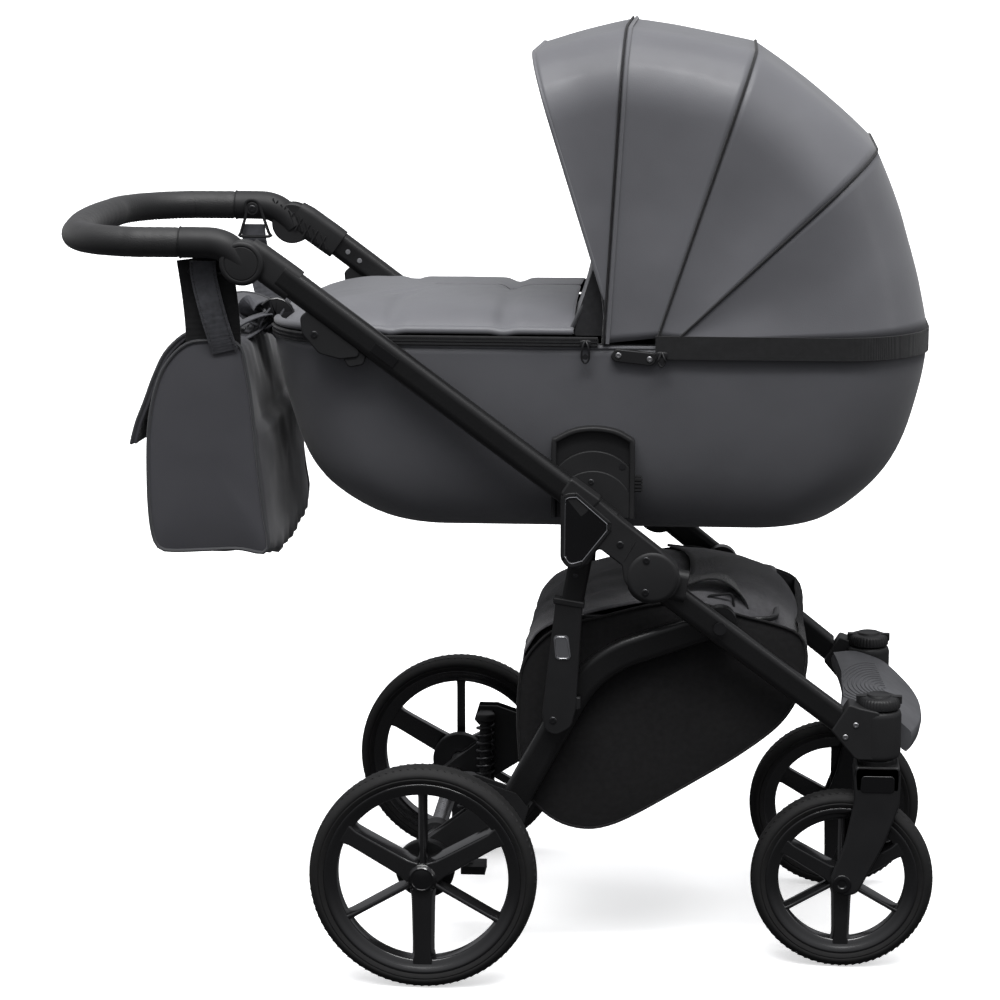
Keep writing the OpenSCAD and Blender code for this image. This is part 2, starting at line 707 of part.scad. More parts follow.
// Eyes of a layer's bow round the pivot pins.
module eyes(layer) both() difference() {
    half = hood_half - layer * hood_step;
    pin(hood_pivot, 12, half - hood_t, half);
    pin(hood_pivot, 5 + fit, 100, 300);
}
module hood_layer(layer, a0, a1) {
    drum(layer, a0, a1, 11);
    eyes(layer);
}
bow_rear = 36.3;
bow_mid = 66.6;
bow_front = 90;
visor = 110.4;
module hood_fixed() color("#6f7175") place() drum(0, -1.8, bow_rear - 0.5, 20);
module hood_rear() color("#6f7175") place() hood_layer(1, bow_rear, bow_mid - 0.5);
module hood_mid() color("#6f7175") place() hood_layer(2, bow_mid, bow_front - 0.5);
module hood_front() color("#6f7175") place() hood_layer(3, bow_front, visor);

// ---- bag -----------------------------------------------------------------------------------

module bag_form(t) hull() {
    slab(806, -312 + t, -240 - t, bag_half - 4 - t, 26);
    slab(690, -352 + t, -228 - t, bag_half - t, 30);
    slab(590, -356 + t, -214 - t, bag_half - 2 - t, 30);
    slab(546 + t, -340 + t, -222 - t, bag_half - 10 - t, 26);
}
module bag() color("#707276") place() {
    difference() {
        bag_form(0);
        bag_form(bag_wall);
        translate([-300, -bag_half + 20, 700]) cube([50, 2 * bag_half - 40, 200]);
    }
    both() side(bag_half - 30, bag_half) polygon([
        [-268, 804], [-246, 804], [-272, 900], [-292, 900]
    ]);
}

front_leg_left();
front_leg_right();
front_housing_left();
front_housing_right();
footrest();
front_crossbar();
fold_pivot_pins();
arch_pivot_screws();
basket();
basket_frame();
pusher_tube_left();
pusher_tube_right();
elbow_bracket_left();
elbow_bracket_right();
elbow_inlays();
hub_caps();
handle_hinge_bases();
frame_badge();
fold_lever_left();
fold_lever_right();
handle_tube();
handle_grip();
handle_sleeves();
handle_hinge_arms();
bag_clips();
handle_button_left();
handle_button_right();
rear_arch_left();
rear_arch_right();
axle_brackets();
rear_axle();
suspension_springs();
brake_drums();
brake_pedal();
rear_leg_left();
rear_leg_right();
rear_leg_sleeves();
rear_wheel_left();
rear_wheel_right();
rear_tyre_left();
rear_tyre_right();
front_fork_left();
front_fork_right();
front_wheel_left();
front_wheel_right();
front_tyre_left();
front_tyre_right();
swivel_knob_left();
swivel_knob_right();
cot_shell();
mattress();
apron();
cot_connectors();
cot_button_left();
cot_button_right();
hood_fixed();
hood_rear();
hood_mid();
hood_front();
bag();
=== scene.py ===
"""Looks of the pram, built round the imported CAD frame.

Side-view places are in millimetres from the rear axle line and the ground, as in the CAD source;
the last step of every mesh moves them into the frame, in metres.
"""
import math

import bmesh
import bpy
import numpy as np
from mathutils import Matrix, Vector, noise


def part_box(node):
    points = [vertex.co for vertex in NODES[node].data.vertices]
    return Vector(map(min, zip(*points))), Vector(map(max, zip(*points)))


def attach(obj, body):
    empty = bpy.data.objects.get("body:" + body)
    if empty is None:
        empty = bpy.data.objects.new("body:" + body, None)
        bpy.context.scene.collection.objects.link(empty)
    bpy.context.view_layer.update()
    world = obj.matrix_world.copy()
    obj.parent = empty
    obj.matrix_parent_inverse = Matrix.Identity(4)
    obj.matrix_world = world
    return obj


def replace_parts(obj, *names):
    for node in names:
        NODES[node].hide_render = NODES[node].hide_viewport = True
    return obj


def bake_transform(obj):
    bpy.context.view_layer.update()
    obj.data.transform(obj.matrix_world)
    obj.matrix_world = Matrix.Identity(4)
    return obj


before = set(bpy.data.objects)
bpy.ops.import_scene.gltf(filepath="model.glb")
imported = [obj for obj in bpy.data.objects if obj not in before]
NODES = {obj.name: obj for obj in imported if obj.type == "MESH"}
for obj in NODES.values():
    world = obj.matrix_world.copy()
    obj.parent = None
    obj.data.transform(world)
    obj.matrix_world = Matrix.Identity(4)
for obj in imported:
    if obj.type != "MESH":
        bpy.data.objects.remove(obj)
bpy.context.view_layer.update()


def centre(node):
    """Middle of a CAD node's box, in millimetres."""
    low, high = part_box(node)
    return (low + high) * 500


SHIFT = centre("rear_tyre_left").x  # where the rear axle line lies in the frame

# ---- camera, lights and floor ----------------------------------------------------------------

camera_data = bpy.data.cameras.new("camera")
camera_data.sensor_width = 36
camera_data.lens = 111.94
camera = bpy.data.objects.new("camera", camera_data)
camera.location = (0.30015, -4.0345, 1.3951)
camera.rotation_euler = (math.pi / 2 - 0.200, 0, 0.075)
bpy.context.scene.collection.objects.link(camera)
bpy.context.scene.camera = camera

bpy.context.scene.view_settings.view_transform = "Standard"


def light(name, size, place, target, power):
    data = bpy.data.lights.new(name, "AREA")
    data.shape = "RECTANGLE"
    data.size, data.size_y = size
    data.energy = power
    obj = bpy.data.objects.new(name, data)
    obj.location = place
    obj.rotation_euler = (Vector(target) - Vector(place)).to_track_quat("-Z", "Y").to_euler()
    bpy.context.scene.collection.objects.link(obj)


light("strip", (3.6, 0.6), (0.2, -2.2, 4.6), (0, 0, 0.6), 90)
light("side", (0.6, 2.0), (3.0, -0.8, 1.5), (0, 0, 0.7), 7)
light("rear", (0.8, 2.2), (-3.0, 1.2, 1.6), (0, 0, 0.7), 5)

sun_data = bpy.data.lights.new("soft_sun", "SUN")
sun_data.energy = 2.7
sun_data.angle = math.radians(60)
sun = bpy.data.objects.new("soft_sun", sun_data)
sun.rotation_euler = Vector((0.02, 0.27, -0.96)).to_track_quat("-Z", "Y").to_euler()
bpy.context.scene.collection.objects.link(sun)

world = bpy.data.worlds.new("studio")
bpy.context.scene.world = world
world.use_nodes = True
sky = world.node_tree
sky_coord = sky.nodes.new("ShaderNodeTexCoord")
sky_split = sky.nodes.new("ShaderNodeSeparateXYZ")
sky_ramp = sky.nodes.new("ShaderNodeValToRGB")
sky.links.new(sky_coord.outputs["Generated"], sky_split.inputs[0])
sky_map = sky.nodes.new("ShaderNodeMapRange")
sky_map.inputs["From Min"].default_value = -1
sky.links.new(sky_split.outputs["Z"], sky_map.inputs["Value"])
sky.links.new(sky_map.outputs[0], sky_ramp.inputs[0])
sky_ramp.color_ramp.elements[0].position = 0.40
sky_ramp.color_ramp.elements[0].color = (0.10, 0.10, 0.105, 1)
sky_ramp.color_ramp.elements[1].position = 0.85
sky_ramp.color_ramp.elements[1].color = (0.95, 0.96, 1.0, 1)
background = sky.nodes["Background"]
background.inputs["Strength"].default_value = 0.60
sky.links.new(sky_ramp.outputs[0], background.inputs["Color"])

# ---- materials -------------------------------------------------------------------------------


class Shader:
    """A Principled material with the few node chains that the finishes share."""

    def __init__(self, name, color, rough, metallic=0.0, coat=0.0, sheen=0.0, specular=0.5):
        self.mat = bpy.data.materials.new(name)
        self.mat.use_nodes = True
        self.tree = self.mat.node_tree
        self.bsdf = self.tree.nodes["Principled BSDF"]
        self.color = color
        self.set("Base Color", (*color, 1))
        self.set("Roughness", rough)
        self.set("Metallic", metallic)
        self.set("Coat Weight", coat)
        self.set("Coat Roughness", 0.12)
        self.set("Sheen Weight", sheen)
        self.set("Sheen Roughness", 0.5)
        self.set("Specular IOR Level", specular)
        self.rough = rough
        coord = self.tree.nodes.new("ShaderNodeTexCoord")
        self.coord = coord.outputs["Object"]
        self.normal = None

    def set(self, socket, value):
        self.bsdf.inputs[socket].default_value = value

    def node(self, kind, **inputs):
        n = self.tree.nodes.new(kind)
        for key, value in inputs.items():
            n.inputs[key.replace("_", " ")].default_value = value
        return n

    def link(self, a, b):
        self.tree.links.new(a, b)

    def noise(self, scale, detail=3.0, stretch=None):
        n = self.node("ShaderNodeTexNoise", Scale=scale, Detail=detail)
        source = self.coord
        if stretch:
            m = self.node("ShaderNodeMapping")
            m.inputs["Scale"].default_value = stretch
            self.link(source, m.inputs["Vector"])
            source = m.outputs[0]
        self.link(source, n.inputs["Vector"])
        return n.outputs["Fac"]

    def cells(self, scale, feature="F1"):
        n = self.node("ShaderNodeTexVoronoi", Scale=scale)
        n.feature = feature
        self.link(self.coord, n.inputs["Vector"])
        return n.outputs["Distance"]

    def waves(self, scale, axes="XYZ", distortion=0.0):
        """Sum of fine waves along the axes: a woven lattice on any face square to an axis."""
        total = None
        for axis in axes:
            n = self.node("ShaderNodeTexWave", Scale=scale, Distortion=distortion)
            n.bands_direction = axis
            self.link(self.coord, n.inputs["Vector"])
            if total is None:
                total = n.outputs["Fac"]
            else:
                m = self.node("ShaderNodeMath")
                m.operation = "ADD"
                self.link(total, m.inputs[0])
                self.link(n.outputs["Fac"], m.inputs[1])
                total = m.outputs[0]
        return total

    def vary(self, fac, amount):
        """Base colour a little lighter and darker where fac says."""
        ramp = self.node("ShaderNodeValToRGB")
        ramp.color_ramp.elements[0].position = 0.3
        ramp.color_ramp.elements[1].position = 0.7
        ramp.color_ramp.elements[0].color = (*[c * (1 - amount) for c in self.color], 1)
        ramp.color_ramp.elements[1].color = (*[c * (1 + amount) for c in self.color], 1)
        self.link(fac, ramp.inputs[0])
        self.link(ramp.outputs[0], self.bsdf.inputs["Base Color"])
        return self

    def rub(self, fac, amount):
        """Roughness that changes with fac by up to amount each way."""
        m = self.node("ShaderNodeMapRange")
        m.inputs["To Min"].default_value = max(0.02, self.rough - amount)
        m.inputs["To Max"].default_value = self.rough + amount
        self.link(fac, m.inputs["Value"])
        self.link(m.outputs[0], self.bsdf.inputs["Roughness"])
        return self

    def bump(self, height, strength, depth_mm):
        n = self.node("ShaderNodeBump", Strength=strength)
        n.inputs["Distance"].default_value = depth_mm / 1000
        self.link(height, n.inputs["Height"])
        if self.normal is not None:
            self.link(self.normal, n.inputs["Normal"])
        self.normal = n.outputs[0]
        self.link(self.normal, self.bsdf.inputs["Normal"])
        return self

    def edges(self, color):
        """Paler rubbed edges, from the surface's pointiness."""
        g = self.node("ShaderNodeNewGeometry")
        ramp = self.node("ShaderNodeValToRGB")
        ramp.color_ramp.elements[0].position = 0.60
        ramp.color_ramp.elements[1].position = 0.78
        ramp.color_ramp.elements[0].color = (0, 0, 0, 1)
        ramp.color_ramp.elements[1].color = (1, 1, 1, 1)
        self.link(g.outputs["Pointiness"], ramp.inputs[0])
        mix = self.node("ShaderNodeMix")
        mix.data_type = "RGBA"
        base = self.bsdf.inputs["Base Color"]
        if base.links:
            self.link(base.links[0].from_socket, mix.inputs[6])
        else:
            mix.inputs[6].default_value = (*self.color, 1)
        mix.inputs[7].default_value = (*color, 1)
        self.link(ramp.outputs[0], mix.inputs[0])
        self.link(mix.outputs[2], base)
        return self


def leatherette(name, color, rough=0.5):
    s = Shader(name, color, rough, sheen=0.25, coat=0.06, specular=0.45)
    s.vary(s.noise(9, 4), 0.07)
    s.rub(s.noise(45, 3), 0.08)
    s.bump(s.cells(820), 0.28, 0.25)
    s.bump(s.noise(60, 3), 0.12, 1.0)
    return s.mat


def cloth(name, color, scale=330, rough=0.88, sheen=0.3):
    s = Shader(name, color, rough, sheen=sheen, specular=0.25)
    s.vary(s.noise(140, 4), 0.22)
    s.bump(s.waves(scale, distortion=0.6), 0.5, 0.25)
    s.bump(s.noise(30, 3), 0.15, 1.5)
    return s.mat


def plastic(name, color, rough=0.48, grain=1500, worn=(0.035, 0.035, 0.037)):
    s = Shader(name, color, rough, specular=0.32)
    s.vary(s.noise(22, 3), 0.12)
    s.rub(s.noise(60, 3), 0.07)
    s.bump(s.noise(grain, 2), 0.22, 0.12)
    return s.edges(worn).mat


def metal_paint(name, color, rough=0.34):
    s = Shader(name, color, rough, metallic=0.35, coat=0.12, specular=0.55)
    s.vary(s.noise(900, 2), 0.2)
    s.rub(s.noise(35, 4), 0.06)
    s.bump(s.noise(1300, 2), 0.12, 0.08)
    return s.edges((0.04, 0.04, 0.042)).mat


def glossy(name, color, rough=0.12):
    s = Shader(name, color, rough, coat=0.6)
    s.vary(s.noise(14, 2), 0.15)
    s.rub(s.noise(50, 4), 0.05)
    s.bump(s.noise(70, 2), 0.03, 0.4)
    return s.mat


def bare(name, color, rough=0.3):
    s = Shader(name, color, rough, metallic=1.0)
    s.vary(s.noise(40, 3), 0.12)
    s.rub(s.noise(400, 3, (1, 1, 12)), 0.12)
    s.bump(s.noise(900, 2), 0.08, 0.05)
    return s.mat


def rubber(name, color):
    s = Shader(name, color, 0.72, specular=0.35)
    s.vary(s.noise(60, 4), 0.18)
    s.bump(s.cells(420, "DISTANCE_TO_EDGE"), 0.5, 0.5)
    s.bump(s.noise(900, 2), 0.2, 0.12)
    return s.mat


def stitched(name, color):
    """Soft grip leather with a larger pebble than the leatherette."""
    s = Shader(name, color, 0.55, sheen=0.12)
    s.vary(s.noise(30, 3), 0.12)
    s.rub(s.noise(80, 3), 0.08)
    s.bump(s.cells(520), 0.45, 0.4)
    return s.mat


def lattice(name, color):
    """Zip tape and webbing: cross ribs about 1.3 mm apart."""
    s = Shader(name, color, 0.8, sheen=0.2, specular=0.3)
    s.vary(s.noise(120, 3), 0.2)
    s.bump(s.waves(240), 0.6, 0.4)
    return s.mat


GREY = (0.118, 0.119, 0.130)
M = {
    "grey": leatherette("grey_leatherette", GREY),
    "grey_dark": leatherette("grey_leatherette_dark", (0.045, 0.046, 0.050)),
    # the hull's grey is the same leatherette made darker: painted shade for its less lit sides
    "grey_hull_painted_shade": leatherette("grey_leatherette_hull_painted_shade", (0.094, 0.095, 0.104)),
    # the bag's grey is the same leatherette made darker: painted shade where the bag sits in shadow
    "grey_bag_painted_shade": leatherette("grey_leatherette_bag_painted_shade", (0.058, 0.058, 0.066)),
    "strap": lattice("strap_webbing", (0.072, 0.073, 0.082)),
    "web": lattice("black_webbing", (0.012, 0.012, 0.013)),
    "zip": lattice("zip_tape", (0.010, 0.010, 0.011)),
    "teeth": plastic("zip_teeth", (0.014, 0.014, 0.015), 0.35, 2000),
    "cloth": cloth("black_cloth", (0.0085, 0.0082, 0.0088), sheen=0.12),
    "cover": cloth("basket_cover_cloth", (0.060, 0.059, 0.064)),
    "lining": cloth("lining_cloth", (0.018, 0.018, 0.020), 260),
    "white": cloth("mattress_cloth", (0.72, 0.71, 0.68), 200),
    "metal": metal_paint("black_metal", (0.012, 0.012, 0.0125)),
    "plastic": plastic("black_plastic", (0.013, 0.013, 0.0138)),
    "plastic_soft": plastic("black_plastic_matt", (0.016, 0.016, 0.0168), 0.52, 900),
    "grey_plastic": plastic("grey_plastic", (0.085, 0.086, 0.092), 0.5, 1200, (0.12, 0.12, 0.13)),
    "gloss": glossy("gloss_trim", (0.004, 0.004, 0.0045), 0.07),
    "rim": glossy("rim_gloss", (0.010, 0.010, 0.0106), 0.2),
    "steel": bare("bare_metal", (0.55, 0.55, 0.56)),
    "chrome": bare("chrome_line", (0.62, 0.62, 0.64), 0.14),
    "dark_steel": bare("dark_screw", (0.07, 0.07, 0.073), 0.38),
    "rubber": rubber("tyre_rubber", (0.009, 0.0088, 0.009)),
    "grip": stitched("grip_leather", (0.0095, 0.0093, 0.0098)),
    "thread": lattice("thread", (0.03, 0.03, 0.032)),
}

# ---- mesh helpers ----------------------------------------------------------------------------


def smooth_by_angle(mesh, degrees=40):
    """Smooth faces with creases where neighbours meet at more than the angle."""
    bm = bmesh.new()
    bm.from_mesh(mesh)
    limit = math.radians(degrees)
    for e in bm.edges:
        e.smooth = not (len(e.link_faces) == 2 and e.calc_face_angle(0) > limit)
    for f in bm.faces:
        f.smooth = True
    bm.to_mesh(mesh)
    bm.free()


def build(name, verts, faces, mat, body=None, face_mats=None, mats=None, angle=40, fix=True):
    """A mesh piece from millimetre vertices, riding on a body."""
    v = np.array(verts, float).reshape(-1, 3) / 1000
    v[:, 0] += SHIFT / 1000
    mesh = bpy.data.meshes.new(name)
    mesh.from_pydata(v.tolist(), [], [list(f) for f in faces])
    for m in mats or [mat]:
        mesh.materials.append(M[m])
    if face_mats is not None:
        mesh.polygons.foreach_set("material_index", face_mats)
    if fix:
        bm = bmesh.new()
        bm.from_mesh(mesh)
        bmesh.ops.remove_doubles(bm, verts=bm.verts, dist=1e-6)
        bmesh.ops.recalc_face_normals(bm, faces=bm.faces)
        bm.to_mesh(mesh)
        bm.free()
    smooth_by_angle(mesh, angle)
    obj = bpy.data.objects.new(name, mesh)
    bpy.context.scene.collection.objects.link(obj)
    if body:
        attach(obj, body)
    return obj


def modifiers(obj, bevel=0.0, subdivide=0, segments=2, angle=35):
    """Bevel with weighted normals, or subdivision, left on the piece."""
    if bevel:
        b = obj.modifiers.new("bevel", "BEVEL")
        b.width = bevel / 1000
        b.segments = segments
        b.limit_method = "ANGLE"
        b.angle_limit = math.radians(angle)
        b.use_clamp_overlap = True
        w = obj.modifiers.new("normals", "WEIGHTED_NORMAL")
        w.keep_sharp = True
    if subdivide:
        s = obj.modifiers.new("subdivision", "SUBSURF")
        s.levels = s.render_levels = subdivide
    return obj


def bake(obj):
    """The modifiers' result becomes the piece's own mesh."""
    bpy.context.view_layer.update()
    done = bpy.data.meshes.new_from_object(
        obj.evaluated_get(bpy.context.evaluated_depsgraph_get()))
    obj.modifiers.clear()
    obj.data = done
    return obj


def thicken(obj, mm, inner=None):
    """Gives a one-sheet mesh a thickness inwards, with another material on the inside."""
    m = obj.modifiers.new("solidify", "SOLIDIFY")
    m.thickness = mm / 1000
    m.offset = -1
    m.use_even_offset = False
    if inner:
        obj.data.materials.append(M[inner])
        m.material_offset = 1
        m.material_offset_rim = 0
    return bake(obj)


def join_lists(parts):
    """One vertex list and one face list from several (verts, faces)."""
    verts, faces = [], []
    for v, f in parts:
        n = len(verts)
        verts.extend(np.array(v, float).reshape(-1, 3).tolist())
        faces.extend([[i + n for i in face] for face in f])
    return verts, faces


def skin(rows, around=False, along=False, caps=False):
    """Quads between rows of points. around closes each row, along closes the row order."""
    rows = np.array(rows, float)
    n, m = rows.shape[:2]
    faces = []
    for i in range(n if along else n - 1):
        for j in range(m if around else m - 1):
            a, b = i * m + j, i * m + (j + 1) % m
            k = ((i + 1) % n) * m
            faces.append([a, b, k + (j + 1) % m, k + j])
    if caps:
        faces.append(list(range(m))[::-1])
        faces.append([(n - 1) * m + j for j in range(m)])
    return rows.reshape(-1, 3), faces


def unit(v):
    v = np.array(v, float)
    return v / (np.linalg.norm(v, axis=-1, keepdims=True) + 1e-12)


def curve(points, n, closed=False):
    """A smooth curve through the points, resampled evenly to n points."""
    p = np.array(points, float)
    k = len(p)
    out = []
    steps = 12
    spans = k if closed else k - 1
    for i in range(spans):
        if closed:
            a, b, c, d = (p[(i + j) % k] for j in (-1, 0, 1, 2))
        else:
            a, b, c, d = p[max(i - 1, 0)], p[i], p[i + 1], p[min(i + 2, k - 1)]
        for t in np.linspace(0, 1, steps, endpoint=False):
            out.append(0.5 * (2 * b + (c - a) * t + (2 * a - 5 * b + 4 * c - d) * t * t
                              + (3 * b - a - 3 * c + d) * t ** 3))
    out.append(p[0] if closed else p[-1])
    return evenly(np.array(out), n, closed)


def evenly(line, n, closed=False):
    """The same line with n evenly spaced points; a closed line comes with its end repeated."""
    d = np.r_[0, np.cumsum(np.linalg.norm(np.diff(line, axis=0), axis=1))]
    t = np.linspace(0, d[-1], n + 1)[:-1] if closed else np.linspace(0, d[-1], n)
    return np.stack([np.interp(t, d, line[:, i]) for i in range(line.shape[1])], axis=1)


def fillet(points, r, n=5):
    """Closed outline with its corners rounded; r is one radius, or one for each corner."""
    p = np.array(points, float)
    k = len(p)
    radii = r if hasattr(r, "__len__") else [r] * k
    out = []
    for i in range(k):
        a, b, c = p[i - 1], p[i], p[(i + 1) % k]
        u, v = unit(a - b), unit(c - b)
        half = math.acos(float(np.clip(u @ v, -1, 1))) / 2
        limit = 0.48 * min(np.linalg.norm(a - b), np.linalg.norm(c - b))
        t = min(radii[i] / max(math.tan(half), 1e-6), limit)
        if t < 0.05:
            out.append(b)
            continue
        rr = t * math.tan(half)
        m = b + unit(u + v) * rr / math.sin(half)
        s, e = b + u * t - m, b + v * t - m
        a0, a1 = math.atan2(s[1], s[0]), math.atan2(e[1], e[0])
        d = (a1 - a0 + math.pi) % (2 * math.pi) - math.pi
        for q in np.linspace(0, 1, n):
            out.append(m + rr * np.array([math.cos(a0 + d * q), math.sin(a0 + d * q)]))
    return np.array(out)


def circle(c, r, n=32, a0=0.0, a1=2 * math.pi):
    full = abs(a1 - a0 - 2 * math.pi) < 1e-6
    t = np.linspace(a0, a1, n, endpoint=not full)
    return np.stack([c[0] + r * np.cos(t), c[1] + r * np.sin(t)], axis=1)


def plate(outline, y0, y1):
    """Side-view outline as a plate from y0 to y1."""
    o = np.array(outline, float)
    rows = [np.stack([o[:, 0], np.full(len(o), y), o[:, 1]], axis=1) for y in (y0, y1)]
    return skin(rows, around=True, caps=True)


def frames(path, closed=False, up=None):
    p = np.array(path, float)
    if closed:
        t = np.roll(p, -1, 0) - np.roll(p, 1, 0)
    else:
        t = np.gradient(p, axis=0)
    t = unit(t)
    if up is not None:
        u = np.array(up, float)
        u = np.broadcast_to(u, p.shape)
        u = unit(u - (u * t).sum(1, keepdims=True) * t)
    else:
        u = np.zeros_like(p)
        start = np.array([0, 0, 1.0]) if abs(t[0][2]) < 0.9 else np.array([1.0, 0, 0])
        u[0] = unit(start - (start @ t[0]) * t[0])
        for i in range(1, len(p)):
            w = u[i - 1] - (u[i - 1] @ t[i]) * t[i]
            u[i] = unit(w)
    return t, u, np.cross(t, u)


def sweep(path, section, closed=False, up=None, scale=None, caps=True):
    """Section points (across, up) carried along the path."""
    t, u, b = frames(path, closed, up)
    s = np.array(section, float)
    rows = []
    for i, p in enumerate(np.array(path, float)):
        k = 1.0 if scale is None else scale[i]
        rows.append(p + np.outer(s[:, 0] * k, b[i]) + np.outer(s[:, 1] * k, u[i]))
    return skin(rows, around=True, along=closed, caps=caps and not closed)


def round_section(w, h, r, n=4):
    return fillet([[-w / 2, -h / 2], [w / 2, -h / 2], [w / 2, h / 2], [-w / 2, h / 2]], r, n)


def disc_section(r, n=10):
    return circle((0, 0), r, n)


def lathe(profile, c, y_sign=1, n=64):
    """Profile of (radius, y) points, closed, turned about the line across the pram at c."""
    pr = np.array(profile, float)
    rows = []
    for a in np.linspace(0, 2 * math.pi, n, endpoint=False):
        rows.append(np.stack([c[0] + pr[:, 0] * math.cos(a), c[1] + y_sign * pr[:, 1],
                              c[2] + pr[:, 0] * math.sin(a)], axis=1))
    return skin(rows, around=True, along=True)


def turned(profile, place, axis, n=24):
    """Solid of revolution: profile of (radius, height) from place along axis, radius 0 at both
    ends."""
    axis = unit(axis)
    helper = np.array([0, 0, 1.0]) if abs(axis[2]) < 0.9 else np.array([1.0, 0, 0])
    u = unit(np.cross(axis, helper))
    v = np.cross(axis, u)
    rows = []
    for r, h in profile:
        t = np.linspace(0, 2 * math.pi, n, endpoint=False)
        rows.append(np.array(place, float) + axis * h
                    + r * (np.outer(np.cos(t), u) + np.outer(np.sin(t), v)))
    return skin(rows, around=True, caps=True)


def screw(place, axis, r=4.0, h=1.6):
    """Pan-head screw with a round socket in its head."""
    head = turned([(r, 0), (r, h * 0.55), (r * 0.86, h * 0.95), (r * 0.5, h), (r * 0.45, h * 0.35)],
                  place, axis, 24)
    return head


def stitches(path, normal, length=3.2, pitch=4.4, r=0.35, sink=0.0):
    """Short thread loops along a path, each a slim bead."""
    path = np.array(path, float)
    d = np.r_[0, np.cumsum(np.linalg.norm(np.diff(path, axis=0), axis=1))]
    parts = []
    normal = np.array(normal, float)
    for s in np.arange(pitch / 2, d[-1] - pitch / 2, pitch):
        a = np.array([np.interp(s - length / 2, d, path[:, i]) for i in range(3)])
        b = np.array([np.interp(s + length / 2, d, path[:, i]) for i in range(3)])
        if normal.ndim == 2:
            n = np.array([np.interp(s, d, normal[:, i]) for i in range(3)])
        else:
            n = normal
        n = unit(n)
        line = [a - n * r * 0.8, a * 0.8 + b * 0.2 + n * r * (1 - sink),
                a * 0.2 + b * 0.8 + n * r * (1 - sink), b - n * r * 0.8]
        parts.append(sweep(line, disc_section(r, 5), up=n))
    return join_lists(parts)


def lump(p, size, amount, seed=0.0):
    """Smooth noise for wrinkles, the same each run."""
    return amount * noise.noise(Vector((p[0] / size + seed, p[1] / size - seed, p[2] / size)))


def mirrored(part):
    """The same vertices on the pram's other side."""
    v, f = part
    v = np.array(v, float).copy()
    v[:, 1] *= -1
    return v, [face[::-1] for face in f]


def both(part):
    return join_lists([part, mirrored(part)])


SIDES = ((-1, "right"), (1, "left"))


def flat(outline, s, y0, y1, r=0.0):
    """Side-view outline as a plate on side s, from y0 to y1 away from the middle."""
    o = fillet(outline, r) if r else np.array(outline, float)
    return plate(o, *sorted((s * y0, s * y1)))


def piece(name, parts, mat, body, bevel=0.0, segments=3, angle=40, stands_for=()):
    v, f = join_lists(parts)
    obj = build(name, v, f, mat, body, angle=angle)
    if bevel:
        modifiers(obj, bevel=bevel, segments=segments)
    if stands_for:
        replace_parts(obj, *stands_for)
    return obj


def rod(a, b, y, section, n=6, **k):
    """Straight sweep between two side-view points in the plane y."""
    a, b = np.array(a, float), np.array(b, float)
    line = [(a[0] + (b[0] - a[0]) * q, y, a[1] + (b[1] - a[1]) * q) for q in np.linspace(0, 1, n)]
    return sweep(line, section, up=(0, 0, 1), **k)


def outline3(points, y):
    o = np.array(points, float)
    return np.stack([o[:, 0], np.full(len(o), float(y)), o[:, 1]], axis=1)


# ---- CAD nodes that stay ---------------------------------------------------------------------


def keep(node, mat, bevel=0.0, segments=2, angle=35):
    """A CAD node with its own mesh, a better material and softened edges."""
    obj = NODES[node]
    obj.data.materials.clear()
    obj.data.materials.append(M[mat])
    obj.data.polygons.foreach_set("material_index", [0] * len(obj.data.polygons))
    weld = obj.modifiers.new("weld", "WELD")
    weld.merge_threshold = 1e-5
    modifiers(obj, bevel=bevel or 0.3, segments=segments, angle=angle)
    return obj


for side_name in ("left", "right"):
    keep("front_leg_" + side_name, "metal", 0.6)
    keep("pusher_tube_" + side_name, "metal", 0.3)
    keep("rear_arch_" + side_name, "metal", 0.3)
keep("front_crossbar", "metal", 0.4)
keep("fold_pivot_pins", "steel", 0.5)
keep("arch_pivot_screws", "dark_steel", 0.8)
keep("basket_frame", "metal", 2.0, 3)
keep("frame_badge", "gloss", 0.4)
keep("axle_brackets", "plastic", 1.4, 3)
keep("rear_axle", "steel", 0.5)
keep("brake_drums", "plastic", 2.0, 3)
keep("brake_pedal", "plastic", 2.0, 3)

# ---- wheels ----------------------------------------------------------------------------------


def spoke(c, angle, r0, r1, w0, w1, y_in, y_out, y_sign):
    """Spoke with a flat outer face and sloping flanks."""
    rows = []
    d = np.array([math.cos(angle), math.sin(angle)])
    n = np.array([-d[1], d[0]])
    for q in np.linspace(0, 1, 9):
        r = r0 + (r1 - r0) * q
        w = w0 + (w1 - w0) * q
        flare = 1 + 0.28 * max(0, (q - 0.82) / 0.18) ** 2 + 0.2 * max(0, (0.18 - q) / 0.18) ** 2
        w *= flare
        pts = [(-w / 2 - 1.5, y_in), (w / 2 + 1.5, y_in), (w / 2 + 1.5, (y_in + y_out) / 2),
               (w / 2 - 1.5, y_out - 1.5), (w / 2 - 3, y_out), (-w / 2 + 3, y_out),
               (-w / 2 + 1.5, y_out - 1.5), (-w / 2 - 1.5, (y_in + y_out) / 2)]
        rows.append([[c[0] + d[0] * r + n[0] * a, c[1] + y_sign * b, c[2] + d[1] * r + n[1] * a]
                     for a, b in pts])
    return skin(rows, around=True, caps=True)


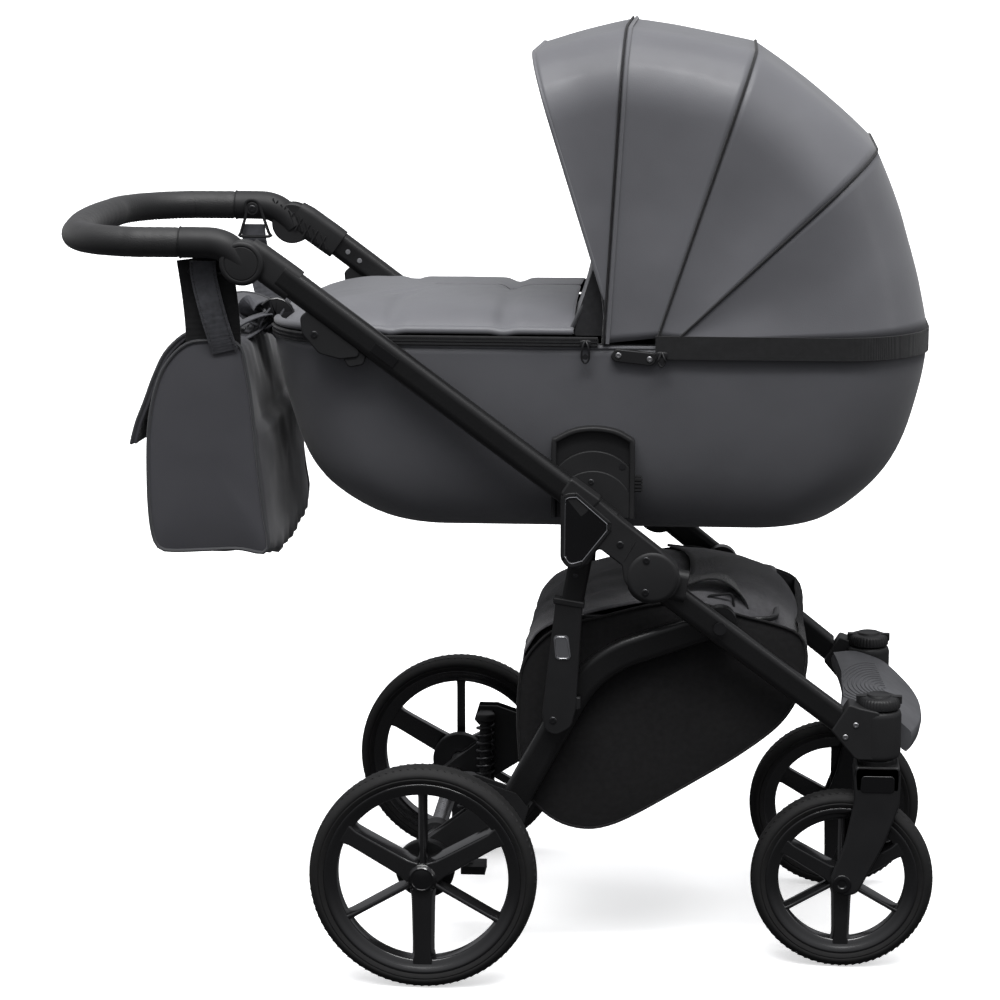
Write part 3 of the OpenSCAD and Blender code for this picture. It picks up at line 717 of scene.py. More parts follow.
def wheel(node, tyre_node, body):
    low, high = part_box(tyre_node)
    c = (low + high) * 500
    place = np.array([c.x - SHIFT, c.y, c.z])
    sgn = 1 if c.y > 0 else -1
    r = (high.z - low.z) * 500
    w = (high.y - low.y) * 1000
    rear = r > 130
    hub = 20 if rear else 17
    rim_out, rim_in = r - 20, r - 36
    h = w / 2
    rim = lathe([(rim_out - 1, -h + 3), (rim_out + 0.5, -h + 2), (rim_out + 0.5, h - 2),
                 (rim_out - 1.5, h - 1.2), (rim_out - 5, h - 2.2), (rim_out - 7, h - 4),
                 (rim_out - 11, h - 6), (rim_in + 1.5, h - 7.5), (rim_in, h - 9),
                 (rim_in - 0.5, 0), (rim_in, -h + 9), (rim_in + 4, -h + 6), (rim_out - 4, -h + 4)],
                place, sgn, 96)
    hub_part = lathe([(2, -h), (hub - 2, -h), (hub, -h + 2), (hub, h - 9), (hub - 1.5, h - 6),
                      (hub - 3, h - 5), (hub - 3.4, h - 3), (2, h - 3)], place, sgn, 48)
    parts = [rim, hub_part]
    wide, thin = ((27, 23), (8.5, 8)) if rear else ((23, 19), (7.5, 7))
    for i in range(3):
        parts.append(spoke(place, math.radians(30 + 120 * i), hub - 6, rim_in + 5, *wide,
                           -h + 9, h - 5.5, sgn))
        parts.append(spoke(place, math.radians(90 + 120 * i), hub - 6, rim_in + 5, *thin,
                           -h + 11, h - 8, sgn))
    v, f = join_lists(parts)
    obj = build(node + "_spoked", v, f, "rim", body, angle=32)
    modifiers(obj, bevel=0.9, segments=2, angle=30)
    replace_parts(obj, node)
    cap = turned([(0.6, -4), (hub - 4, -4), (hub - 4, 2.4), (hub - 5, 3.4), (hub - 6.6, 3.4),
                  (hub - 7, 2.9), (hub - 9, 3.2), (4, 3.9), (0.5, 4)],
                 place + [0, sgn * (h - 4), 0], [0, sgn, 0], 48)
    build(node + "_cap", *cap, "gloss", body)
    # tyre: crowned tread with two side grooves
    ro, ri = r, r - 21
    outline = [(ri, -h + 3.5), (ri + 3, -h + 1.2), (ri + 7, -h + 0.2), (ri + 8.2, -h + 1.1),
               (ri + 9.4, -h + 0.2), (ri + 13, -h + 1.0), (ro - 3.6, -h + 4.6), (ro - 2.2, -h + 7),
               (ro - 2.6, -h + 8), (ro - 1.4, -h + 9), (ro - 0.3, -h * 0.3), (ro, 0)]
    outline = outline + [(a, -b) for a, b in outline[-2::-1]]
    v, f = lathe(outline, place, sgn, 128)
    tyre = build(tyre_node + "_tread", v, f, "rubber", body, angle=50)
    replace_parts(tyre, tyre_node)
    # low blocks round the tread, in two staggered rows
    blocks = []
    count = 96 if rear else 80
    for row, y in enumerate((-0.42, 0.0, 0.42)):
        for i in range(count):
            a = 2 * math.pi * (i + 0.5 * (row % 2)) / count
            d = np.array([math.cos(a), 0, math.sin(a)])
            t = np.array([-d[2], 0, d[0]])
            base = place + d * (ro - 1.6 - 3.2 * abs(y) ** 1.5) + np.array([0, sgn * y * h, 0])
            half_t, half_y = math.pi * ro / count * 0.62, h * 0.17
            pts = []
            for e in (0, 1.5):
                k = 1 if e == 0 else 0.78
                for s1, s2 in ((-1, -1), (1, -1), (1, 1), (-1, 1)):
                    pts.append(base + d * e + t * s1 * half_t * k
                               + np.array([0, s2 * half_y * k + s1 * 1.2, 0]))
            blocks.append((pts, [[0, 1, 2, 3], [7, 6, 5, 4], [0, 4, 5, 1], [1, 5, 6, 2],
                                 [2, 6, 7, 3], [3, 7, 4, 0]]))
    v, f = join_lists(blocks)
    build(tyre_node + "_blocks", v, f, "rubber", body, angle=20)


for side_name in ("left", "right"):
    wheel("rear_wheel_" + side_name, "rear_tyre_" + side_name, "rear_roller_" + side_name)
    wheel("front_wheel_" + side_name, "front_tyre_" + side_name, "front_roller_" + side_name)

# ---- springs ---------------------------------------------------------------------------------

low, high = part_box("suspension_springs")
spring_y = high.y * 1000 - 13 - 4.6
spring_y = 171.5 - 1.3 - 22 + 1.3
parts = []
rear_r = centre("rear_tyre_left").z
for sgn in (-1, 1):
    y = sgn * spring_y
    turns, n = 7.5, 150
    t = np.linspace(0, 1, n)
    helix = np.stack([45 + 11.5 * np.cos(2 * math.pi * turns * t),
                      y + 11.5 * np.sin(2 * math.pi * turns * t),
                      rear_r + 3 + 82 * t], axis=1)
    parts.append(sweep(helix, disc_section(1.9, 8)))
v, f = join_lists(parts)
build("spring_coils", v, f, "dark_steel", "rear_frame")
parts = []
for sgn in (-1, 1):
    y = sgn * spring_y
    parts.append(turned([(0.5, -6), (12, -6), (13, -5), (13, 2), (8.5, 3), (8, 84), (13, 86),
                         (13.5, 88), (13.5, 93), (12.5, 95.5), (9, 96.5), (0.5, 97)],
                        [45, y, rear_r], [0, 0, 1], 32))
    foot = [(2, rear_r - 14), (50, rear_r - 14), (50, rear_r + 2), (14, rear_r + 2),
            (2, rear_r - 8)]
    parts.append(plate(fillet(foot, 2), y - 8, y + 8))
    parts.append(plate(fillet([(36, rear_r + 90), (54, rear_r + 90), (54, rear_r + 96),
                               (36, rear_r + 96)], 1.5), *sorted((y, sgn * 168))))
v, f = join_lists(parts)
obj = modifiers(build("spring_seats", v, f, "plastic", "rear_frame"), bevel=0.8)
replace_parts(obj, "suspension_springs")

# ---- hood ------------------------------------------------------------------------------------

PIVOT = np.array([256.0, 828.0])


class Bow:
    """One cross section of the hood: a rim point, a top point, a half width and a corner."""

    def __init__(self, base, top, half=206, corner=90):
        self.base, self.top = np.array(base, float), np.array(top, float)
        self.half, self.corner = half, corner

    def mix(self, other, s, top):
        m = Bow(self.base * (1 - s) + other.base * s, top,
                self.half * (1 - s) + other.half * s, self.corner * (1 - s) + other.corner * s)
        return m

    def path(self, out=0.0, n_side=26, n_arc=12, n_top=15):
        """Points from the near rim over the top to the far rim, moved outwards by out."""
        d = self.top - self.base
        length = float(np.linalg.norm(d)) + out
        d = unit(d)
        half, c = self.half + out, min(self.corner, length - out - 1) + out
        rho, y = [], []
        for q in np.linspace(0, 1, n_side, endpoint=False):
            rho.append((length - c) * q)
            y.append(-half)
        for a in np.linspace(0, math.pi / 2, n_arc, endpoint=False):
            rho.append(length - c + c * math.sin(a))
            y.append(-half + c - c * math.cos(a))
        for q in np.linspace(-1, 1, n_top):
            rho.append(length)
            y.append((half - c) * q)
        k = n_side + n_arc
        rho += rho[:k][::-1]
        y += [-v for v in y[:k][::-1]]
        rho = np.array(rho)
        return np.stack([self.base[0] + d[0] * rho, np.array(y), self.base[1] + d[1] * rho],
                        axis=1)


def ray(angle, r):
    a = math.radians(angle)
    return PIVOT + r * np.array([math.cos(a), math.sin(a)])


bow3 = Bow((315, 825), ray(36.6, 376), 206.5, 96)
bow2 = Bow((289, 825), ray(66.6, 377), 205.5, 92)
bow1 = Bow((221, 817), ray(91.8, 375), 204.5, 90)
visor_edge = Bow((222, 872), ray(110.4, 367), 202, 88)
rim_line = Bow((312, 823), (627, 823), 206.5, 116)


def gore(name, a, b, angles, radii, n=18, sag=0.6, skip_ends=True):
    """Fabric between two bows, sagging towards the chord between them."""
    rows = []
    half_turn = math.radians(abs(angles[1] - angles[0])) / 2
    for s in np.linspace(0, 1, n):
        angle = angles[0] + (angles[1] - angles[0]) * s
        r = radii[0] + (radii[1] - radii[0]) * s
        drop = r * (1 - math.cos(half_turn) / math.cos((2 * s - 1) * half_turn))
        m = a.mix(b, s, ray(angle, r - sag * drop))
        p = m.path()
        k = len(p)
        bell = math.sin(math.pi * s)
        for i, q in enumerate(p):
            # the side cloth pulls in between the bows, and creases a little
            rise = min(i, k - 1 - i) / (k / 2)
            pull = 4.5 * bell * min(1, 3 * rise) * (1 if abs(q[1]) > 150 else abs(q[1]) / 150)
            q[1] -= math.copysign(pull, q[1])
            wave = lump(q, 95, 2.2, 3.1) + lump(q, 34, 0.7, 7.7)
            q += unit(np.array([q[0] - PIVOT[0], q[1] * 0.8, q[2] - PIVOT[1]])) * wave * bell
        rows.append(p)
    v, f = skin(rows)
    return v, f


def hood_cloth(name, part, slot_mat="grey"):
    v, f = part
    obj = build(name, v, f, slot_mat, None, angle=60, fix=True)
    # normals outwards, so that the inside takes the lining
    low_face = obj.data.polygons[len(obj.data.polygons) // 2]
    out = Vector((low_face.center.x - (PIVOT[0] + SHIFT) / 1000, 0, low_face.center.z - 0.828))
    if low_face.normal.dot(out) < 0:
        obj.data.flip_normals()
    return thicken(obj, 1.6, "lining")


g_rear = hood_cloth("hood_cloth_rear", gore("r", rim_line, bow3, (0, 36.6), (371, 376)))
g_mid = hood_cloth("hood_cloth_mid", gore("m", bow3, bow2, (36.6, 66.6), (376, 377)))
g_front = hood_cloth("hood_cloth_front", gore("f", bow2, bow1, (66.6, 91.8), (377, 375)))
g_visor = hood_cloth("hood_visor", gore("v", bow1, visor_edge, (91.8, 110.4), (375, 367)))


for name, bow, body, size in (("rear", bow3, "hood_bow_rear", 1.7),
                              ("mid", bow2, "hood_bow_mid", 1.9)):
    v, f = sweep(bow.path(0.5), disc_section(size, 8))
    build("hood_piping_" + name, v, f, "zip", body)
# bow 1 carries a zip: tape, a raised lip and teeth
tape = sweep(bow1.path(0.6), round_section(6.5, 1.6, 0.7, 3), up=None)
build("hood_zip_tape", *tape, "zip", "hood_bow_front")
v, f = sweep(bow1.path(1.7), disc_section(1.5, 8))
build("hood_zip_teeth", v, f, "teeth", "hood_bow_front")
shifted = bow1.path(1.2)
shifted[:, 0] += 5.2
v, f = sweep(shifted, disc_section(2.3, 8))
build("hood_zip_lip", v, f, "grey", "hood_bow_front")
# visor binding
v, f = sweep(visor_edge.path(-0.4), round_section(5, 4.6, 2.2, 5))
build("hood_visor_binding", v, f, "grey", "hood_bow_front")
# inner bows with their sleeves
for name, bow, body in (("rear", bow3, "hood_bow_rear"), ("mid", bow2, "hood_bow_mid"),
                        ("front", bow1, "hood_bow_front")):
    v, f = sweep(bow.path(-5.5), round_section(9, 4.5, 1.8, 3))
    build("hood_inner_bow_" + name, v, f, "lining", body)
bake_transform(g_rear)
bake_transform(g_mid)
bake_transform(g_front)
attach(g_visor, "hood_bow_front")
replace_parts(g_rear, "hood_fixed")
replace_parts(g_mid, "hood_rear")
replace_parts(g_front, "hood_mid")
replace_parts(g_visor, "hood_front")

# ---- carrycot --------------------------------------------------------------------------------


def plan_ring(x0, x1, half, r, n_long=26, n_arc=9, n_short=6):
    """Closed plan outline with the same number of points whatever its size."""
    r = min(r, half - 1)
    pts = []
    for q in np.linspace(0, 1, n_long, endpoint=False):
        pts.append((x1 - r + (x0 - x1 + 2 * r) * q, -half))
    for a in np.linspace(-math.pi / 2, -math.pi, n_arc, endpoint=False):
        pts.append((x0 + r + r * math.cos(a), -half + r + r * math.sin(a)))
    for q in np.linspace(0, 1, n_short, endpoint=False):
        pts.append((x0, -half + r + (2 * half - 2 * r) * q))
    for a in np.linspace(math.pi, math.pi / 2, n_arc, endpoint=False):
        pts.append((x0 + r + r * math.cos(a), half - r + r * math.sin(a)))
    for q in np.linspace(0, 1, n_long, endpoint=False):
        pts.append((x0 + r + (x1 - x0 - 2 * r) * q, half))
    for a in np.linspace(math.pi / 2, 0, n_arc, endpoint=False):
        pts.append((x1 - r + r * math.cos(a), half - r + r * math.sin(a)))
    for q in np.linspace(0, 1, n_short, endpoint=False):
        pts.append((x1, half - r - (2 * half - 2 * r) * q))
    for a in np.linspace(0, -math.pi / 2, n_arc, endpoint=False):
        pts.append((x1 - r + r * math.cos(a), -half + r + r * math.sin(a)))
    return np.array(pts)


HULL = np.array([
    (814, -206, 627, 200, 112), (790, -204, 626, 199.6, 112), (755, -197, 620, 198, 111),
    (700, -182, 606, 193, 108), (657, -166, 587, 186.5, 104), (627, -147, 565, 178, 99),
    (603, -121, 540, 167, 93), (587, -97, 519, 155, 86), (575, -72, 499, 140, 78),
    (567.5, -42, 470, 118, 66), (565.5, 10, 420, 80, 44)], float)


def hull_rows(levels, inset=0.0, folds=1.0):
    lines = curve(HULL, levels)
    rows = []
    for z, x0, x1, half, r in lines:
        ring = plan_ring(x0 + inset, x1 - inset, half - inset, r - inset)
        c = np.array([(x0 + x1) / 2, 0])
        row = []
        for x, y in ring:
            p = np.array([x, y, z])
            out = unit(np.array([x, y]) - c * [1, 0])
            k = (lump(p, 120, 2.0, 1.3) + lump(p, 38, 0.5, 4.0)) * folds
            # puckers where the cloth is gathered under the zip at the ends
            if z > 760:
                k += folds * 0.5 * math.sin(math.atan2(y, x - c[0]) * 60) * (z - 760) / 54 * (
                    1 if x < -120 or x > 540 else 0.15)
            row.append([x + out[0] * k, y + out[1] * k, z])
        rows.append(row)
    return rows


v, f = skin(hull_rows(34), around=True)
n_ring = len(plan_ring(0, 400, 100, 50))
f.append([(34 - 1) * n_ring + j for j in range(n_ring)])
# the hull cover takes the darker grey: painted shade
hull = build("hull_cover", v, f, "grey_hull_painted_shade", None, angle=60)
hull = thicken(hull, 1.8)
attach(hull, "carrycot")
v, f = skin(hull_rows(16, inset=7, folds=0.3), around=True)
v = np.array(v)
v[:, 2] = np.minimum(v[:, 2] + 4, 815)
f.append([(16 - 1) * n_ring + j for j in range(n_ring)])
lining = build("hull_lining", v, f, "lining", None, angle=60)
lining = thicken(lining, 2.0)
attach(lining, "carrycot")
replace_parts(hull, "cot_shell")

# feet under the hull, and its rim tape
parts = [turned([(0.5, 0), (8.5, 0), (9.5, -1.5), (9.5, -5), (7, -7.6), (0.5, -8)],
                [x, s * 70, 570], [0, 0, 1], 20) for x in (48, 210, 300, 378) for s in (-1, 1)]
v, f = join_lists(parts)
build("hull_feet", v, f, "plastic_soft", "carrycot")
ring = plan_ring(-206, 627, 200, 112)
path = np.c_[ring, np.full(len(ring), 811.0)]
v, f = sweep(path, disc_section(2.2, 8), closed=True)
# the rim piping takes the same darker grey: painted shade
build("hull_piping", v, f, "grey_hull_painted_shade", "carrycot")


def open_ring(x_end, inset, x0=-206, half=200, r=112, n_long=30, n_arc=14, n_short=14):
    """Plan line from the near side's end round the foot to the far side's end."""
    rr = max(r - inset, 0.01)
    x_c, h = x0 + max(r, inset), half - inset
    pts = []
    for q in np.linspace(0, 1, n_long, endpoint=False):
        pts.append((x_end + (x_c - x_end) * q, -h))
    for a in np.linspace(-math.pi / 2, -math.pi, n_arc, endpoint=False):
        pts.append((x_c + rr * math.cos(a), -h + rr + rr * math.sin(a)))
    for q in np.linspace(-1, 1, n_short):
        pts.append((x_c - rr, (h - rr) * q))
    k = n_long + n_arc
    return np.array(pts + [(x, -y) for x, y in pts[:k][::-1]])


SEAMS = (-45.0, 96.0)


def quilt(x, width=7.5):
    return sum(math.exp(-((x - s) / width) ** 2) for s in SEAMS)


# apron: a puffy rim above the zip, then a domed, quilted top
profile = [(-0.5, 824), (-2.6, 827), (-2.2, 831.5), (2.5, 835), (7, 834), (9.5, 831.6),
           (13, 833.5), (20, 838), (34, 843), (55, 848), (80, 852), (110, 855.5), (140, 857.5),
           (170, 858.5), (199.9, 859)]
rows = []
for d, z in profile:
    ring = open_ring(184, d)
    row = []
    for x, y in ring:
        q = quilt(x)
        edge = d < 9
        puff = (2.0 if edge else 5.5) * (1 - q) - (1.6 if edge else 3.0) * q
        if not edge:
            puff *= min(1, (d - 9) / 30)
        fall = 0
        if x < -120:
            fall = 7.0 * ((-120 - x) / 86) ** 1.5
        p = (x, y, z)
        wrinkle = 0 if edge else lump(p, 42, 2.2, 5.5) * (0.4 + q) + lump(p, 16, 0.6, 2.5)
        row.append([x, y, z + puff + wrinkle - fall * (0.2 if edge else 1)])
    rows.append(row)
v, f = skin(rows)
apron = build("apron_quilt", v, f, "grey", None, angle=70)
if sum(p.normal.z for p in apron.data.polygons) < 0:
    apron.data.flip_normals()
apron = thicken(apron, 3.0, "lining")
modifiers(apron, subdivide=1)
apron = bake(apron)
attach(apron, "carrycot")
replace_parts(apron, "apron")
# sewn lines over the seams
parts = []
for s in SEAMS:
    for off in (-1.6, 1.6):
        line = []
        for y in np.linspace(-178, 178, 60):
            d = 200 - abs(y)
            z = float(np.interp(d, [p[0] for p in profile], [p[1] for p in profile]))
            line.append([s + off, y, z - 2.6])
        parts.append(stitches(line, (0, 0, 1), 3.4, 4.8, 0.5))
v, f = join_lists(parts)
build("apron_stitches", v, f, "thread", "carrycot")


def ridge_section(h, ridges, depth=1.2, thick=3.0):
    """Upright band section (across, up): ridges face outwards, on the negative side."""
    pts = []
    n = ridges * 6
    for i in range(n + 1):
        q = i / n
        pts.append((-thick / 2 - depth * abs(math.sin(math.pi * ridges * q)) ** 0.6,
                    -h / 2 + h * q))
    pts.append((thick / 2, h / 2))
    pts.append((thick / 2, -h / 2))
    return np.array(pts)


def band(name, line, h, ridges, mat, body, depth=1.2, thick=3.0):
    """Ribbed band on a plan line, its ridges turned away from the pram's middle."""
    v, f = sweep(line, ridge_section(h, ridges, depth, thick), up=(0, 0, 1))
    return build(name, v, f, mat, body, angle=28)


# the double zip under the apron's rim
ring = open_ring(214, -1.2, n_long=40)
band("apron_zip_band", np.c_[ring, np.full(len(ring), 818.0)], 12.5, 3, "zip", "carrycot", 1.6)
for k, z in enumerate((815.2, 820.8)):
    teeth = []
    ring = open_ring(214, -3.6, n_long=40)
    line = evenly(np.c_[ring, np.full(len(ring), z)], 420)
    tangent, _, _ = frames(line, up=(0, 0, 1))
    for p, t in zip(line[::1], tangent[::1]):
        o = np.cross(t, [0, 0, 1])
        box_pts = [p + t * a * 0.8 + o * b * 0.7 + np.array([0, 0, c * 1.1])
                   for a in (-1, 1) for b in (-1, 1) for c in (-1, 1)]
        teeth.append((box_pts, [[0, 1, 3, 2], [4, 6, 7, 5], [0, 4, 5, 1], [2, 3, 7, 6],
                                [0, 2, 6, 4], [1, 5, 7, 3]]))
    v, f = join_lists(teeth)
    build(f"apron_zip_teeth_{k + 1}", v, f, "teeth", "carrycot")


def zip_pull(name, place, out, body, length=26):
    """Slider with a looped puller hanging from it."""
    place = np.array(place, float)
    out = unit(out)
    side_dir = np.cross(out, [0, 0, 1])
    parts = []
    body_line = [place + side_dir * s for s in (-6.5, -3, 3, 6.5)]
    parts.append(sweep(body_line, round_section(5.5, 9, 1.6, 4), up=(0, 0, 1),
                       scale=[0.75, 1, 1, 0.75]))
    top = place + out * 3.5
    loop = curve([top + [0, 0, 3], top + out * 3 + side_dir * 3.6 - [0, 0, 4],
                  top + out * 2 + side_dir * 4.6 - [0, 0, length - 8],
                  top + out * 2 - [0, 0, length - 2],
                  top + out * 2 - side_dir * 4.6 - [0, 0, length - 8],
                  top + out * 3 - side_dir * 3.6 - [0, 0, 4]], 36, closed=True)
    parts.append(sweep(loop, disc_section(1.3, 8), closed=True))
    parts.append(turned([(0.4, 0), (3.6, 0), (3.6, 1.5), (0.4, 1.6)],
                        top + out * 1.3 - [0, 0, length - 10], out, 16))
    v, f = join_lists(parts)
    return build(name, v, f, "teeth", body)


zip_pull("apron_zip_pull_near", (199, -205.5, 817), (0, -1, 0), "carrycot")
zip_pull("apron_zip_pull_far", (199, 205.5, 817), (0, 1, 0), "carrycot")

# ribbed zip band round the hood's foot
ring = plan_ring(-206, 628, 206.6, 116)
line = [(x, -206.6) for x in np.linspace(286, 512, 30)]
line += [(512 + 116 * math.cos(a), -90.6 + 116 * math.sin(a))
         for a in np.linspace(-math.pi / 2, 0, 16)]
line += [(628, y) for y in np.linspace(-84, 84, 12)]
line += [(512 + 116 * math.cos(a), 90.6 + 116 * math.sin(a))
         for a in np.linspace(0, math.pi / 2, 16)]
line += [(x, 206.6) for x in np.linspace(506, 286, 30)]
line = np.array(line)
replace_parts(band("hood_zip_band", np.c_[line, np.full(len(line), 813.0)], 29, 5, "zip",
                 "carrycot", 1.7, 4.0))
zip_pull("hood_zip_pull_near", (294, -210.0, 804), (0, -1, 0), "carrycot", 16)

# hinge plates with two screws
parts, screws = [], []
for s in (-1, 1):
    o = fillet([(229, 801), (237, 811), (286, 806), (287, 795), (281, 790), (236, 795)],
               [4, 4, 4, 4, 4, 4])
    parts.append(plate(o, *sorted((s * 199, s * 208.6))))
    for x, z in ((240, 803), (279, 798.5)):
        screws.append(screw((x, s * 208.4, z), (0, s, 0), 3.6, 1.4))
v, f = join_lists(parts)
modifiers(build("hood_hinge_plates", v, f, "plastic", "carrycot"), bevel=1.2, segments=3)
v, f = join_lists(screws)
build("hood_hinge_screws", v, f, "steel", "carrycot")

# wind flap at the apron's head end: two skins with a piped top edge
rows = []
for q in np.linspace(0, 1, 14):
    row = []
    for t in np.linspace(-1, 1, 41):
        half = 186 - 26 * q ** 2.2
        y = half * t
        x = 180 + 30 * q - 5 * (1 - abs(t) ** 3) + 4 * math.sin(math.pi * q)
        z = 832 + 100 * q - 10 * q * abs(t) ** 4
        x += lump((x, y, z), 45, 3.0, 6.0) * (1 - q * 0.6)
        row.append([x, y, z])
    rows.append(row)
v, f = skin(rows)
flap = build("wind_flap", v, f, "grey", None, angle=70)
if sum(p.normal.x for p in flap.data.polygons) > 0:
    flap.data.flip_normals()
flap = thicken(flap, 3.0, "lining")
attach(flap, "carrycot")
edge = np.array([rows[i][0] for i in range(len(rows))] + rows[-1][1:-1]
                + [rows[i][-1] for i in range(len(rows) - 1, -1, -1)])
v, f = sweep(edge, disc_section(2.6, 8))
build("wind_flap_piping", v, f, "grey_dark", "carrycot")

# dark inner gussets join the flap to the hood on both sides
parts = []
for s in (-1, 1):
    parts.append(flat([(183, 824), (236, 824), (240, 905), (222, 940), (206, 905), (192, 862)], s,
                      184, 186, 3))
piece("hood_gussets", parts, "lining", "hood_bow_front")

# mattress
rows = []
for dz, inset in ((0, 16), (1.5, 8), (8, 1.5), (20, 0), (32, 1.5), (38.5, 7), (41, 16), (41.6, 50),
                  (42, 110)):
    ring = plan_ring(-130 + inset, 540 - inset, 154 - inset, max(80 - inset, 12))
    rows.append([[x, y, 609 + dz * 0.94 + (lump((x, y, 0), 60, 1.6, 2.0) if dz > 30 else 0)]
                 for x, y in ring])
v, f = skin(rows, around=True, caps=True)
mattress = build("mattress_pad", v, f, "white", "carrycot", angle=70)
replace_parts(mattress, "mattress")

# ---- bag -------------------------------------------------------------------------------------

BAG = [(-262, 812), (-240, 808), (-232, 780), (-226, 737), (-219, 660), (-212, 590), (-207, 552),
       (-214, 540), (-245, 545), (-285, 543), (-330, 541), (-347, 546), (-355, 570), (-358, 620),
       (-356, 697), (-346, 750), (-330, 785), (-302, 810)]
bag_line = curve(BAG, 84, closed=True)
bag_mid = bag_line.mean(0)
rows = []
for t in np.linspace(-1, 1, 41):
    y = 188 * t
    bulge = 1 - t ** 4
    row = []
    for x, z in bag_line:
        dx, dz = x - bag_mid[0], z - bag_mid[1]
        k = 0.035 * bulge + 0.012
        if dz < 0:
            z2 = z + dz * 0.10 * bulge
        else:
            z2 = z - 0.03 * dz * bulge
        x2 = x + dx * k * (1.6 if dx > 0 else 1.0)
        if dx > 0 and dz < 40:
            x2 += 10 * bulge * math.cos(dz / 130)
        p = (x2, y, z2)
        fold = lump(p, 60, 5.0, 9.0) * (0.4 + 0.6 * bulge) + lump(p, 22, 1.4, 3.0)
        # gathers under the top edge and at the bottom corners
        if dz > 70:
            fold += 1.8 * math.sin(y / 5.2) * (dz - 70) / 60 * bulge
        if dz < -105:
            fold += 2.6 * math.sin(y / 6.5 + x / 9) * bulge ** 0.3
        o = unit(np.array([dx, dz]))
        edge_hold = min(1, (1 - abs(t)) * 14)
        row.append([x2 + o[0] * fold * edge_hold, y, z2 + o[1] * fold * edge_hold])
    rows.append(row)
body_v, body_f = skin(rows, around=True)
# side panels, crowned a little
parts = [(body_v, body_f)]
for s in (-1, 1):
    rings = []
    for q in (1.0, 0.97, 0.9, 0.75, 0.55, 0.3, 0.1):
        ring = []
        for (x, z), p in zip(bag_line, rows[0 if s < 0 else -1]):
            c = np.array([bag_mid[0], bag_mid[1]])
            e = np.array([p[0], p[2]])
            xy = c + (e - c) * q
            crown = 7.5 * (1 - q ** 3.0) + lump((xy[0], 0, xy[1]), 50, 1.2, 8.0) * (1 - q)
            ring.append([xy[0], s * (188 + crown), xy[1]])
        rings.append(ring)
    pv, pf = skin(rings, around=True)
    pf.append([(len(rings) - 1) * len(bag_line) + j for j in range(len(bag_line))])
    parts.append((pv, pf))
v, f = join_lists(parts)
# the bag body takes the darker grey: painted shade
bag = build("bag_body", v, f, "grey_bag_painted_shade", "changing_bag", angle=60)
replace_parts(bag, "bag")
parts = []
for s, row in ((-1, rows[0]), (1, rows[-1])):
    line = np.array(row, float)
    line[:, 1] = s * 189
    parts.append(sweep(line, disc_section(2.3, 8), closed=True))
v, f = join_lists(parts)
build("bag_piping", v, f, "grey_dark", "changing_bag")

# flap over the bag's back, doubled at the edge
spine = curve([(-250, 812), (-275, 822), (-303, 822), (-330, 800), (-350, 764), (-366, 716),
               (-377, 678)], 26)
rows = []
for i, (x, z) in enumerate(spine):
    q = i / 25
    row = []
    for t in np.linspace(-1, 1, 41):
        y = (186 - 10 * q ** 3) * t
        out = lump((x, y, z), 70, 5.0, 5.0) * q + 2.5 * q * abs(t) ** 4
        row.append([x - out, y, z + lump((x, y, z), 35, 1.5, 1.0)])
    rows.append(row)
v, f = skin(rows)
# the flap takes the darker grey: painted shade
flap = build("bag_flap", v, f, "grey_bag_painted_shade", None, angle=70)
if sum(p.normal.x for p in flap.data.polygons) > 0:
    flap.data.flip_normals()
flap = thicken(flap, 6.5, "lining")
modifiers(flap, bevel=1.8, segments=3, angle=50)
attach(bake(flap), "changing_bag")
parts = []
edge = np.array([r[0] for r in rows] + rows[-1][1:-1] + [r[-1] for r in rows[::-1]])
v, f = sweep(edge + [-0.5, 0, 0], disc_section(2.4, 8))
build("bag_flap_piping", v, f, "grey_dark", "changing_bag")

# straps: a stitched grey loop on both sides, in front of a wide black one on the near side
for s, side_name in ((-1, "near"), (1, "far")):
    y = s * 213
    line = curve([(-256, s * 193, 800), (-262, s * 200, 822), (-271, s * 206, 858),
                  (-279, s * 208, 896), (-280, s * 208, 916)], 24)
    v, f = sweep(line, round_section(2.4, 33, 0.9, 3), up=(1, 0, 0.2))
    build("bag_strap_" + side_name, v, f, "strap", "changing_bag", angle=50)
    parts = []
    for off in (-13.5, 13.5):
        parts.append(stitches(line + [off, s * 1.5, 0], (0, s, 0), 3.2, 4.6, 0.45))
    v, f = join_lists(parts)
    build("bag_strap_stitches_" + side_name, v, f, "thread", "changing_bag")
    if s > 0:
        continue
    wide = curve([(-272, s * 186, 806), (-272, s * 192, 840), (-275, s * 197, 880),
                  (-280, s * 199, 920)], 16)
    v, f = sweep(wide, round_section(3.0, 70, 1.2, 3), up=(1, 0, 0))
    build("bag_web_" + side_name, v, f, "web", "changing_bag", angle=50)

# shoulder strap, rolled up on the bag's top
parts = []
for k, (x, y, z, r1, r2, yaw, tip) in enumerate((
        (-238, -92, 818, 30, 9, 0.3, 0.5), (-222, -70, 823, 34, 11, -0.5, -0.4),
        (-214, -46, 819, 28, 10, 0.9, 0.2), (-236, -60, 832, 26, 7, 1.4, -0.6),
        (-210, -84, 834, 24, 8, 0.1, 0.9), (-228, -34, 826, 26, 9, -1.1, 0.4))):
    e1 = np.array([math.cos(yaw) * math.cos(tip), math.sin(yaw) * math.cos(tip), math.sin(tip)])
    e2 = np.array([-math.cos(yaw) * math.sin(tip), -math.sin(yaw) * math.sin(tip), math.cos(tip)])
    e3 = np.cross(e1, e2)
    turn = [np.array([x, y, z]) + e1 * r1 * math.cos(a) + e2 * r2 * math.sin(a)
            + e3 * 7 * math.sin(2 * a + k) for a in np.linspace(0, 2 * math.pi, 44, endpoint=False)]
    parts.append(sweep(turn, round_section(2.6, 24, 0.9, 3), closed=True, up=e3))
v, f = join_lists(parts)
